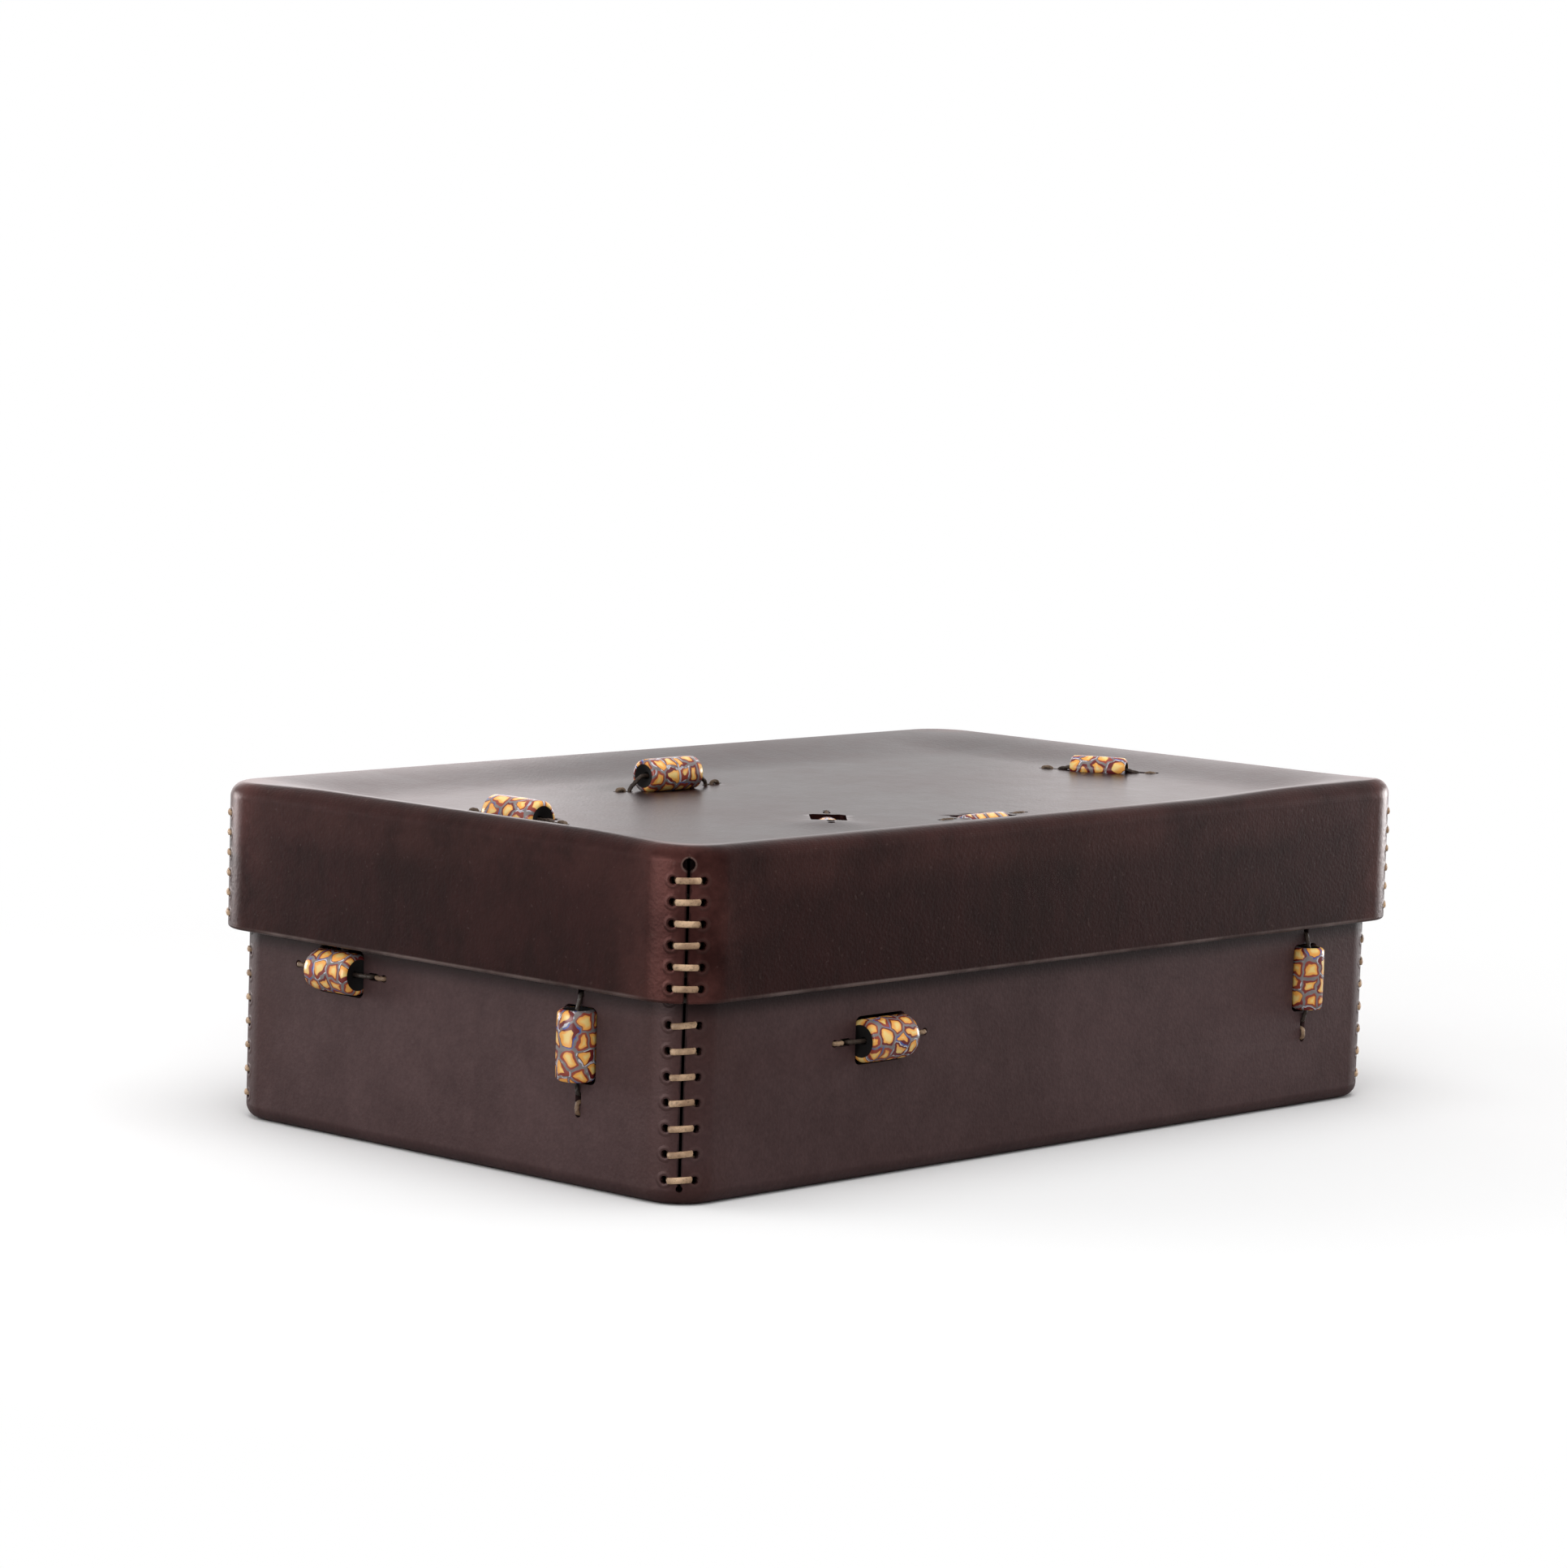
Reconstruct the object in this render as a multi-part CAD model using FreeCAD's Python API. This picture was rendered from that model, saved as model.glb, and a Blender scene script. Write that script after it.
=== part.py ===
import FreeCAD, Part
import math
import os

Vec = FreeCAD.Vector

# Driving dimensions, in millimetres. The origin is the middle of the underside and Z points up.
LID_LENGTH = 332.0
LID_WIDTH = 202.0
BOX_HEIGHT = 102.0
LID_RIM_HEIGHT = 58.0
LEATHER = 3.2
FIT_GAP = 2.4
REST_GAP = 0.4
FOLD_RADIUS = 4.5
TRAY_CORNER = 13.5
RIM_SOFTENING = 0.9

# The lid's top sags a little inside the crest of its folds.
DISH_DEPTH = 3.2
DISH_MARGIN = 8.0
DISH_SLOPE_RUN = 14.0
DISH_CORNER = 12.0

# Waxed thread and the holes it runs through.
THREAD_DIAMETER = 1.7
THREAD_CLEARANCE = 0.35
HOLE_CLEARANCE = 0.3
BEND_RADIUS = 1.2
GROOVE_DEPTH = 1.2
GROOVE_CLEARANCE = 0.25

# How far a cutting shape reaches past what it cuts, and the least straight side of a slot.
CUT_MARGIN = 2.0
LEAST_STRAIGHT = 0.02

# Laced corner seams.
SEAM_WIDTH = 0.8
HOLE_OFFSET = 4.4
STITCH_MARGIN = 4.3
LID_STITCH_PITCH = 6.05
TRAY_STITCH_FIRST = 7.4
TRAY_STITCH_PITCH = 7.28
LID_RELIEF_DROP = 5.0
LID_RELIEF_RADIUS = 1.8
TRAY_RELIEF_HEIGHT = 4.9
TRAY_RELIEF_RADIUS = 1.0

# Each bead has a thread of its own. Most sit in windows cut in the leather. A bead strung over
# the leather stands about half proud, one strung under it shows only a sliver, and one that
# rests on the leather has no window.
WINDOW_CLEARANCE = 0.8
WINDOW_CORNER = 2.0
BEAD_END_ROUNDING = 1.6
BEAD_REST_GAP = 0.3
INNER_HOLE_DISTANCE = 4.0
RESTING_HOLE_DISTANCE = 6.0
STRAND_SPACING = 2.4
BACK_STITCH = 5.6
THREAD_LEAD = 1.5

# Lid beads: the end of the lid and the side that each is set out from (0 for the middle), the
# distances from there, direction in degrees from X, length, diameter, how it is strung.
LID_BEADS = (
    (-1, 0, 32.0, 0.0, 90.0, 21.0, 11.5, "over"),
    (0, 0, -36.0, 34.5, 1.0, 22.5, 10.4, "resting"),
    (1, 0, -43.8, -7.8, -63.0, 18.5, 8.0, "over"),
    (-1, -1, 111.2, 50.4, 45.0, 18.0, 9.5, "under"),
    (-1, -1, 156.5, 29.0, 0.0, 19.0, 9.5, "under"),
)
# Tray beads: wall, the end of the wall that each is set out from, the distance from there, how
# far below the lid's rim its middle lies, whether it stands upright, length, diameter.
TRAY_BEADS = (
    ("left", 1, -49.4, 8.0, False, 18.2, 12.4),
    ("left", -1, 40.8, 16.6, True, 20.5, 11.7),
    ("front", -1, 81.6, 17.0, False, 19.6, 12.6),
    ("front", 1, -38.6, 16.4, True, 19.8, 10.2),
    ("right", -1, 49.4, 8.0, False, 18.6, 12.0),
    ("right", 1, -40.8, 16.6, True, 20.0, 11.2),
    ("back", 1, -81.6, 17.0, False, 19.2, 12.2),
    ("back", -1, 38.6, 16.4, True, 20.2, 10.8),
)

WALL_OFFSET = LEATHER + FIT_GAP
TRAY_LENGTH = LID_LENGTH - 2 * WALL_OFFSET
TRAY_WIDTH = LID_WIDTH - 2 * WALL_OFFSET
TRAY_HEIGHT = BOX_HEIGHT - LEATHER - REST_GAP
LID_CORNER = TRAY_CORNER + LEATHER
LID_RELIEF_HEIGHT = BOX_HEIGHT - LID_RELIEF_DROP
THREAD_RADIUS = THREAD_DIAMETER / 2
HOLE_RADIUS = THREAD_RADIUS + HOLE_CLEARANCE
STAND_OFF = THREAD_RADIUS + THREAD_CLEARANCE
CORNERS = {
    "front_left": (-1, -1),
    "front_right": (1, -1),
    "back_right": (1, 1),
    "back_left": (-1, 1),
}


def rounded_outline(length, width, corner, z):
    """A rectangle with round corners, as a closed wire at one height."""
    x = length / 2
    y = width / 2
    edges = []
    for quarter, (sx, sy) in enumerate(((1, 1), (-1, 1), (-1, -1), (1, -1))):
        middle = Vec(sx * (x - corner), sy * (y - corner), z)
        arc = Part.makeCircle(corner, middle, Vec(0, 0, 1), 90 * quarter, 90 * quarter + 90)
        edges.append(arc)
    joined = []
    for number, arc in enumerate(edges):
        following = edges[(number + 1) % 4]
        joined.append(arc)
        joined.append(Part.makeLine(arc.Vertexes[-1].Point, following.Vertexes[0].Point))
    return Part.Wire(joined)


def folded_block(length, width, corner, z_low, z_high, fold, fold_at):
    """A round-cornered block whose edges at the height fold_at are rounded by the fold."""
    face = Part.Face(rounded_outline(length, width, corner, z_low))
    block = face.extrude(Vec(0, 0, z_high - z_low))
    return block.makeFillet(fold, edges_at(block, fold_at))


def edges_at(shape, z):
    """The edges that lie wholly at one height."""
    return [
        edge for edge in shape.Edges
        if abs(edge.BoundBox.ZMin - z) < 1e-4 and abs(edge.BoundBox.ZMax - z) < 1e-4
    ]


def dish_tool(top):
    """The hollow of the dished top: sloping sides down to a flat middle."""
    outlines = []
    for share in (0.0, 2.0):
        inset = DISH_MARGIN + DISH_SLOPE_RUN * (1 - share)
        outlines.append(rounded_outline(
            LID_LENGTH - 2 * inset, LID_WIDTH - 2 * inset,
            DISH_CORNER + DISH_SLOPE_RUN * share, top - DISH_DEPTH * (1 - share),
        ))
    return Part.makeLoft(outlines, True, True)


def seam_corner(length, width, corner, sign):
    """The middle of one corner's rounding and the angle that its seam faces."""
    sx, sy = sign
    middle = Vec(sx * (length / 2 - corner), sy * (width / 2 - corner), 0)
    return middle, math.atan2(sy, sx)


def polar(middle, radius, angle, z):
    return Vec(middle.x + radius * math.cos(angle), middle.y + radius * math.sin(angle), z)


def radial_hole(middle, corner, angle, z, radius):
    """A round hole through the wall at a corner, square to the surface."""
    start = polar(middle, corner - LEATHER - CUT_MARGIN, angle, z)
    direction = Vec(math.cos(angle), math.sin(angle), 0)
    return Part.makeCylinder(radius, LEATHER + 2 * CUT_MARGIN, start, direction)


def radial_box(middle, inner, outer, angle, breadth, z_low, z_high):
    """An upright slab that points out from a corner's middle."""
    box = Part.makeBox(outer - inner, breadth, z_high - z_low, Vec(inner, -breadth / 2, z_low))
    box.rotate(Vec(0, 0, 0), Vec(0, 0, 1), math.degrees(angle))
    box.translate(middle)
    return box


def seam_cuts(middle, facing, corner, heights, open_end, relief_height, relief_radius):
    """The slit, relief hole, punched holes and inside grooves of one laced corner."""
    low = min(open_end, relief_height)
    high = max(open_end, relief_height)
    inner = corner - LEATHER
    cuts = [
        radial_box(
            middle, inner - CUT_MARGIN, corner + CUT_MARGIN, facing, SEAM_WIDTH, low, high,
        ),
        radial_hole(middle, corner, facing, relief_height, relief_radius),
    ]
    spread = HOLE_OFFSET / corner
    groove_width = THREAD_DIAMETER + 2 * GROOVE_CLEARANCE
    for side in (-1, 1):
        angle = facing + side * spread
        for z in heights:
            cuts.append(radial_hole(middle, corner, angle, z, HOLE_RADIUS))
        cuts.append(radial_box(
            middle, inner - CUT_MARGIN, inner + GROOVE_DEPTH, angle, groove_width,
            heights[0] - HOLE_RADIUS, heights[-1] + HOLE_RADIUS,
        ))
    return cuts


def stitch_heights(lowest, highest, pitch):
    """Heights of a row of stitches, as many as fit."""
    count = int((highest - lowest) / pitch) + 1
    return [lowest + pitch * number for number in range(count)]


def sweep_thread(edges):
    """A round thread along a path of lines and arcs that run on smoothly."""
    path = Part.Wire(edges)
    first = edges[0]
    start = first.valueAt(first.FirstParameter)
    direction = first.tangentAt(first.FirstParameter)
    section = Part.Wire([Part.makeCircle(THREAD_RADIUS, start, direction)])
    return path.makePipeShell([section], True, True)


def arc_through(first, middle, last):
    return Part.Arc(first, middle, last).toShape()


def corner_lacing(middle, facing, corner, heights):
    """One thread that laces a corner: rungs across the outside, short runs up the inside."""
    spread = HOLE_OFFSET / corner
    rung_radius = corner + STAND_OFF
    bend_middle = rung_radius - BEND_RADIUS
    bend_angle = math.asin(BEND_RADIUS / bend_middle)
    bend_end = bend_middle * math.cos(bend_angle)
    inside = corner - LEATHER + GROOVE_DEPTH - GROOVE_CLEARANCE - THREAD_RADIUS
    tail = corner - LEATHER + THREAD_RADIUS
    edges = []

    def point(radius, angle, z):
        return polar(middle, radius, facing + angle, z)

    def turn_in(side, z):
        """Points of the bend between a rung and its hole, from the rung inwards."""
        on_rung = point(rung_radius, side * (spread - bend_angle), z)
        in_hole = point(bend_end, side * spread, z)
        centre = point(bend_middle, side * (spread - bend_angle), z)
        outward = ((on_rung - centre) + (in_hole - centre)).normalize()
        return on_rung, centre + outward * BEND_RADIUS, in_hole

    def turn_up(side, z, way):
        """Points of the bend between a hole and the run inside, from the hole on."""
        angle = side * spread
        leave = point(inside + BEND_RADIUS, angle, z)
        half = BEND_RADIUS * (1 - math.sqrt(0.5))
        between = point(inside + half, angle, z + way * half)
        reach = point(inside, angle, z + way * BEND_RADIUS)
        return leave, between, reach

    side = -1
    for number, z in enumerate(heights):
        on_rung, bend, in_hole = turn_in(side, z)
        if number == 0:
            edges.append(Part.makeLine(point(tail, side * spread, z), in_hole))
        else:
            leave, between, reach = turn_up(side, z, -1)
            edges.append(Part.makeLine(edges[-1].Vertexes[-1].Point, reach))
            edges.append(arc_through(reach, between, leave))
            edges.append(Part.makeLine(leave, in_hole))
        edges.append(arc_through(in_hole, bend, on_rung))
        far_rung, far_bend, far_hole = turn_in(-side, z)
        edges.append(arc_through(on_rung, point(rung_radius, 0, z), far_rung))
        edges.append(arc_through(far_rung, far_bend, far_hole))
        side = -side
        if number == len(heights) - 1:
            edges.append(Part.makeLine(far_hole, point(tail, side * spread, z)))
        else:
            leave, between, reach = turn_up(side, z, 1)
            edges.append(Part.makeLine(far_hole, leave))
            edges.append(arc_through(leave, between, reach))
    return sweep_thread(edges)


def rounded_path(points, radius):
    """Straight runs between points, with a tangent arc in place of each inner corner."""
    edges = []
    start = points[0]
    for before, corner, after in zip(points, points[1:], points[2:]):
        back = (before - corner).normalize()
        ahead = (after - corner).normalize()
        half_angle = back.getAngle(ahead) / 2
        setback = radius / math.tan(half_angle)
        bisector = (back + ahead).normalize()
        crest = corner + bisector * (radius / math.sin(half_angle) - radius)
        edges.append(Part.makeLine(start, corner + back * setback))
        edges.append(arc_through(corner + back * setback, crest, corner + ahead * setback))
        start = corner + ahead * setback
    edges.append(Part.makeLine(start, points[-1]))
    return edges


class BeadSeat:
    """Where a bead lies: its middle on the leather's face, its own line and the way out."""

    def __init__(self, middle, along, outward, length, diameter, resting=False):
        self.middle = middle
        self.along = along
        self.outward = outward
        self.across = outward.cross(along)
        self.length = length
        self.diameter = diameter
        self.resting = resting
        self.rise = diameter / 2 + BEAD_REST_GAP if resting else STAND_OFF
        self.near = length / 2 + (RESTING_HOLE_DISTANCE if resting else INNER_HOLE_DISTANCE)
        self.back = self.near + STRAND_SPACING
        self.far = self.near + BACK_STITCH

    def point(self, distance, height):
        return self.middle + self.along * distance + self.outward * height

    def placed(self, shape):
        """A shape drawn along X with Z outwards, set down at the seat."""
        a = self.along
        b = self.across
        c = self.outward
        m = self.middle
        matrix = FreeCAD.Matrix(
            a.x, b.x, c.x, m.x, a.y, b.y, c.y, m.y, a.z, b.z, c.z, m.z, 0, 0, 0, 1,
        )
        moved = shape.copy()
        moved.Placement = FreeCAD.Placement(matrix)
        return moved

    def bead(self):
        start = Vec(-self.length / 2, 0, self.rise)
        body = Part.makeCylinder(self.diameter / 2, self.length, start, Vec(1, 0, 0))
        body = body.makeFillet(BEAD_END_ROUNDING, [e for e in body.Edges if e.Closed])
        bore_start = start - Vec(CUT_MARGIN, 0, 0)
        bore_length = self.length + 2 * CUT_MARGIN
        bore = Part.makeCylinder(HOLE_RADIUS, bore_length, bore_start, Vec(1, 0, 0))
        return self.placed(body.cut(bore))

    def cut_through(self, outline):
        """A cut of one outline through the leather."""
        outline.translate(Vec(0, 0, -LEATHER - CUT_MARGIN))
        return self.placed(Part.Face(outline).extrude(Vec(0, 0, LEATHER + 2 * CUT_MARGIN)))

    def cuts(self):
        """The window, and at both ends a short slot for two strands and a hole beyond it."""
        found = []
        if not self.resting:
            long_side = self.length + 2 * WINDOW_CLEARANCE
            short_side = self.diameter + 2 * WINDOW_CLEARANCE
            found.append(self.cut_through(rounded_outline(long_side, short_side, WINDOW_CORNER, 0)))
        slot_length = STRAND_SPACING + 2 * HOLE_RADIUS
        for side in (-1, 1):
            slot_end = HOLE_RADIUS - LEAST_STRAIGHT / 2
            slot = rounded_outline(slot_length, 2 * HOLE_RADIUS, slot_end, 0)
            slot.translate(Vec(side * (self.near + self.back) / 2, 0, 0))
            found.append(self.cut_through(slot))
            found.append(self.cut_through(Part.Wire([
                Part.makeCircle(HOLE_RADIUS, Vec(side * self.far, 0, 0)),
            ])))
        return found

    def half_thread(self, side):
        """The thread from the bead's middle to its tail at one end of the bead."""
        under = -LEATHER - STAND_OFF
        tail = -LEATHER + THREAD_RADIUS
        course = [(0, self.rise)]
        if self.resting:
            course.append((self.length / 2 + THREAD_LEAD, self.rise))
            course.append((self.near, BEAD_REST_GAP))
        else:
            course.append((self.near, STAND_OFF))
        course.extend([
            (self.near, under), (self.far, under), (self.far, STAND_OFF),
            (self.back, STAND_OFF), (self.back, tail),
        ])
        points = [self.point(side * distance, height) for distance, height in course]
        return sweep_thread(rounded_path(points, BEND_RADIUS))

    def thread(self):
        return self.half_thread(-1).fuse(self.half_thread(1)).removeSplitter()


def lid_seats():
    panel = BOX_HEIGHT - DISH_DEPTH
    seats = []
    for end, side, along_x, along_y, degrees, length, diameter, strung in LID_BEADS:
        x = end * LID_LENGTH / 2 + along_x
        y = side * LID_WIDTH / 2 + along_y
        turn = math.radians(degrees)
        along = Vec(math.cos(turn), math.sin(turn), 0)
        if strung == "under":
            seats.append(BeadSeat(Vec(x, y, panel - LEATHER), along, Vec(0, 0, -1), length, diameter))
        else:
            seats.append(BeadSeat(
                Vec(x, y, panel), along, Vec(0, 0, 1), length, diameter, strung == "resting",
            ))
    return seats


def tray_seats():
    half_length = TRAY_LENGTH / 2
    half_width = TRAY_WIDTH / 2
    walls = {
        "front": (Vec(0, -half_width, 0), Vec(1, 0, 0), half_length),
        "back": (Vec(0, half_width, 0), Vec(1, 0, 0), half_length),
        "left": (Vec(-half_length, 0, 0), Vec(0, 1, 0), half_width),
        "right": (Vec(half_length, 0, 0), Vec(0, 1, 0), half_width),
    }
    seats = []
    for wall, end, distance, drop, upright, length, diameter in TRAY_BEADS:
        foot, level, half_span = walls[wall]
        outward = Vec(foot).normalize()
        middle = foot + level * (end * half_span + distance) + Vec(0, 0, LID_RIM_HEIGHT - drop)
        along = Vec(0, 0, 1) if upright else level
        seats.append(BeadSeat(middle, along, outward, length, diameter))
    return seats


def bead_cuts(seats):
    return [cut for seat in seats for cut in seat.cuts()]


def tray_shell(seam_tools):
    outer = folded_block(TRAY_LENGTH, TRAY_WIDTH, TRAY_CORNER, 0, TRAY_HEIGHT, FOLD_RADIUS, 0)
    inner = folded_block(
        TRAY_LENGTH - 2 * LEATHER, TRAY_WIDTH - 2 * LEATHER, TRAY_CORNER - LEATHER,
        LEATHER, TRAY_HEIGHT + CUT_MARGIN, FOLD_RADIUS - LEATHER, LEATHER,
    )
    shell = outer.cut(inner)
    shell = shell.makeFillet(RIM_SOFTENING, edges_at(shell, TRAY_HEIGHT))
    return shell.cut(seam_tools)


def lid_shell(seam_tools):
    outer = folded_block(
        LID_LENGTH, LID_WIDTH, LID_CORNER, LID_RIM_HEIGHT, BOX_HEIGHT, FOLD_RADIUS, BOX_HEIGHT,
    )
    ceiling = BOX_HEIGHT - LEATHER
    inner = folded_block(
        LID_LENGTH - 2 * LEATHER, LID_WIDTH - 2 * LEATHER, LID_CORNER - LEATHER,
        LID_RIM_HEIGHT - CUT_MARGIN, ceiling, FOLD_RADIUS - LEATHER, ceiling,
    )
    shell = outer.cut(dish_tool(BOX_HEIGHT)).cut(inner.cut(dish_tool(ceiling)))
    shell = shell.makeFillet(RIM_SOFTENING, edges_at(shell, LID_RIM_HEIGHT))
    return shell.cut(seam_tools)


def export(name, shape):
    solid = shape.Solids[0]
    if len(shape.Solids) != 1 or not solid.isValid():
        raise RuntimeError("%s is not one sound solid" % name)
    solid.exportStep("parts/%s.step" % name)


def main():
    os.makedirs("parts", exist_ok=True)
    lid_heights = stitch_heights(
        LID_RIM_HEIGHT + STITCH_MARGIN, LID_RELIEF_HEIGHT - STITCH_MARGIN, LID_STITCH_PITCH,
    )
    tray_heights = stitch_heights(
        TRAY_STITCH_FIRST, TRAY_HEIGHT - STITCH_MARGIN, TRAY_STITCH_PITCH,
    )
    lid_tools = []
    tray_tools = []
    for name, sign in CORNERS.items():
        middle, facing = seam_corner(LID_LENGTH, LID_WIDTH, LID_CORNER, sign)
        lid_tools.extend(seam_cuts(
            middle, facing, LID_CORNER, lid_heights, LID_RIM_HEIGHT - CUT_MARGIN,
            LID_RELIEF_HEIGHT, LID_RELIEF_RADIUS,
        ))
        export("lid_lacing_" + name, corner_lacing(middle, facing, LID_CORNER, lid_heights))
        middle, facing = seam_corner(TRAY_LENGTH, TRAY_WIDTH, TRAY_CORNER, sign)
        tray_tools.extend(seam_cuts(
            middle, facing, TRAY_CORNER, tray_heights, TRAY_HEIGHT + CUT_MARGIN,
            TRAY_RELIEF_HEIGHT, TRAY_RELIEF_RADIUS,
        ))
        export("tray_lacing_" + name, corner_lacing(middle, facing, TRAY_CORNER, tray_heights))
    for owner, seats in (("lid", lid_seats()), ("tray", tray_seats())):
        for number, seat in enumerate(seats, 1):
            export("%s_bead_%d" % (owner, number), seat.bead())
            export("%s_bead_thread_%d" % (owner, number), seat.thread())
    export("lid_shell", lid_shell(lid_tools + bead_cuts(lid_seats())))
    export("tray_shell", tray_shell(tray_tools + bead_cuts(tray_seats())))


main()
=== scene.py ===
import math
import random

import bmesh
import bpy
from mathutils import Matrix, Vector


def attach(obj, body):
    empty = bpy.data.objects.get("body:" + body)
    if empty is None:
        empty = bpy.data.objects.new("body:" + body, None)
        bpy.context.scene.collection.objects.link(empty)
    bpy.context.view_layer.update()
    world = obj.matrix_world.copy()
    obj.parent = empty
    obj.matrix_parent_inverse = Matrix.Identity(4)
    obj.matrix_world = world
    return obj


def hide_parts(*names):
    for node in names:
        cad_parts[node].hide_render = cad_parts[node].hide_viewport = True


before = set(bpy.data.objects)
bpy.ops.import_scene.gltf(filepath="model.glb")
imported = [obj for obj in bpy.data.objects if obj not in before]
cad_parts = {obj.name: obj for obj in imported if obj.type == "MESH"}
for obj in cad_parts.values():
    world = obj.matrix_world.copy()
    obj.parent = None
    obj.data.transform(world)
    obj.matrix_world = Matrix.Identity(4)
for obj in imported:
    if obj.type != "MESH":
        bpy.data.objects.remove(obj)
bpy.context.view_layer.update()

MM = 0.001
FULL_TURN = 2 * math.pi
RANDOM = random.Random(7)


def rgb(red, green, blue):
    """An 8-bit screen colour as linear light."""
    linear = []
    for channel in (red, green, blue):
        share = channel / 255
        linear.append(share / 12.92 if share <= 0.04045 else ((share + 0.055) / 1.055) ** 2.4)
    return (*linear, 1.0)


def grey(level):
    """A neutral colour of linear light."""
    return (level, level, level, 1.0)


class Shell:
    """One leather shell in millimetres: outer size, corners, stitches, fold, rim and seam end."""

    def __init__(self, size, corner, first_stitch, pitch, stitches, fold, rim, seam_end, seam_way):
        self.half_x = size[0] / 2
        self.half_y = size[1] / 2
        self.corner = corner
        self.middle_x = self.half_x - corner
        self.middle_y = self.half_y - corner
        self.first_stitch = first_stitch
        self.pitch = pitch
        self.stitches = stitches
        self.fold = fold
        self.rim = rim
        self.seam_end = seam_end
        self.seam_way = seam_way


# Sizes shared with the CAD source, in millimetres.
LEATHER = 3.2
BOX_HEIGHT = 102.0
DISH_DEPTH = 3.2
DISH_START = 8.0
DISH_RUN = 14.0
DISH_CORNER = DISH_START + DISH_RUN + 12.0
PANEL_TOP = BOX_HEIGHT - DISH_DEPTH
PANEL_UNDERSIDE = PANEL_TOP - LEATHER
HOLE_OFFSET = 4.4
RELIEF_HEIGHT = 97.0
RELIEF_RADIUS = 1.8
BEAD_STAND = 1.2
BEAD_REST_GAP = 0.3
SLOT_DISTANCE = 4.0
RESTING_SLOT_DISTANCE = 6.0
STRAND_SPACING = 2.4
BACK_STITCH = 5.6
CORNERS = {
    "front_left": (-1, -1),
    "front_right": (1, -1),
    "back_right": (1, 1),
    "back_left": (-1, 1),
}
# The two shells. The fold and the rim are the heights of the worn band and of the pale edge line, a burnished
# edge with a painted highlight.
LID = Shell(
    size=(332.0, 202.0), corner=16.7, first_stitch=62.3, pitch=6.05, stitches=6,
    fold=97.0, rim=58.4, seam_end=RELIEF_HEIGHT, seam_way=-1.0,
)
TRAY = Shell(
    size=(320.8, 190.8), corner=13.5, first_stitch=7.4, pitch=7.28, stitches=12,
    fold=0.0, rim=98.4, seam_end=4.9, seam_way=1.0,
)

# The lid's soft top, in millimetres: where its sag starts at the near and far edges and how long it runs.
NEAR_SAG = (4.0, 20.0)
FAR_SAG = (3.0, 44.0)
# The crest's swell along the two near edges: its height, its profile across and its fades along.
CREST_SWELL = 1.1
CREST_RISE = 5.0
CREST_WIDTH = 34.0
CREST_FALL = 26.0
LEFT_CREST_FADE = 50.0
RIGHT_CREST_START = 60.0
RIGHT_CREST_FADE = 60.0
RIGHT_CREST_END = 12.0
# Where the lid's leather gives: a dent under the resting bead, a pucker before the sunk one.
LEATHER_GIVES = (
    (-36.0, 34.5, 17.0, 9.0, -1.3),
    (-66.0, -62.0, 10.0, 10.0, 1.0),
)
# How finely the lid's leather is divided, how far under its panel the sag applies, and the sharp edges.
FINE_EDGE = 5.0
MOST_DIVISIONS = 9
PANEL_MARGIN = 1.0
SHARP_ANGLE = math.radians(38)

# Threads as waxed and pulled, in millimetres.
LACING_RADIUS = 0.95
LID_RUNG_SLANT = 0.1
TRAY_RUNG_SLANT = 0.4
RUNG_JITTER = 0.15
RUNG_HEIGHT = 0.1
RUNG_BOW = 0.12
RUNG_SHARES = (0.95, 0.7, 0.35, 0.0, -0.35, -0.7, -0.95)
RUNG_BEND = 0.7
DIVE_INSET = 1.0
DIVE_DEPTH = 1.2
INSIDE_GAP = 0.2
CORD_RADIUS = 0.66
CORD_HEIGHT = 0.4
CORD_BEND = 1.1
CORD_TAIL = 0.6
CORD_COVER = 0.3
CORD_LEAD = 0.8
CORD_LANDING = 2.2
RESTING_LEAD = 1.0
# How dark the bead threads of each owner are.
CORD_SHADES = {"lid": 0.85, "tray": 0.35}
# How far from its middle, as a share of its length, a bead thread gets painted shade, inside its bead and out
# towards its slot, and the sides of a thread.
BEAD_SHADE_SHARE = (0.24, 0.38)
THREAD_SIDES = 12

# Beads, in millimetres. Each ring at an end: how far in, how far below the girth, its share of dark.
BEAD_SIDES = 56
BORE_RADIUS = 1.15
BORE_DEPTH = 1.5
END_RINGS = ((0.25, 1.9, 1.0), (0.0, 1.4, 0.4), (0.2, 0.7, 0.0), (0.9, 0.08, 0.0))
# The rings of the girth and its barrel swell, as shares of the length and of the radius.
GIRTH_RINGS = (0.15, 0.3, 0.5, 0.7, 0.85)
BARREL = 0.02
# Every bead takes another part of the glass pattern.
PATTERN_STEP = (61.0, 17.0)

# Noise patterns of leather and thread: scale per metre, detail and roughness.
CLOUDS = (13.0, 4.0, 0.6)
PATCHES = (62.0, 4.0, 0.62)
GRAIN = (720.0, 3.0, 0.6)
STREAKS = (170.0, 4.0, 0.65)
STREAK_STRETCH = (1.0, 1.0, 0.45)
RUBS = (34.0, 4.0, 0.65)
SCUFFS = (620.0, 2.0, 0.5)
FRAYS = (260.0, 3.0, 0.55)
FIBRES = (1600.0, 3.0, 0.55)
THREAD_WEAR = (160.0, 3.0, 0.55)
PORE_SCALE = 1000.0
# How clouds and patches make up the blotches, and where these turn from dark to light.
CLOUD_SHARE = 0.45
PATCH_SHARE = 0.25
BLOTCH_LEVEL = 0.15
BLOTCH_TURN = (0.39, 0.61)
BLOTCH_ROUGHNESS = 0.16
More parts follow.
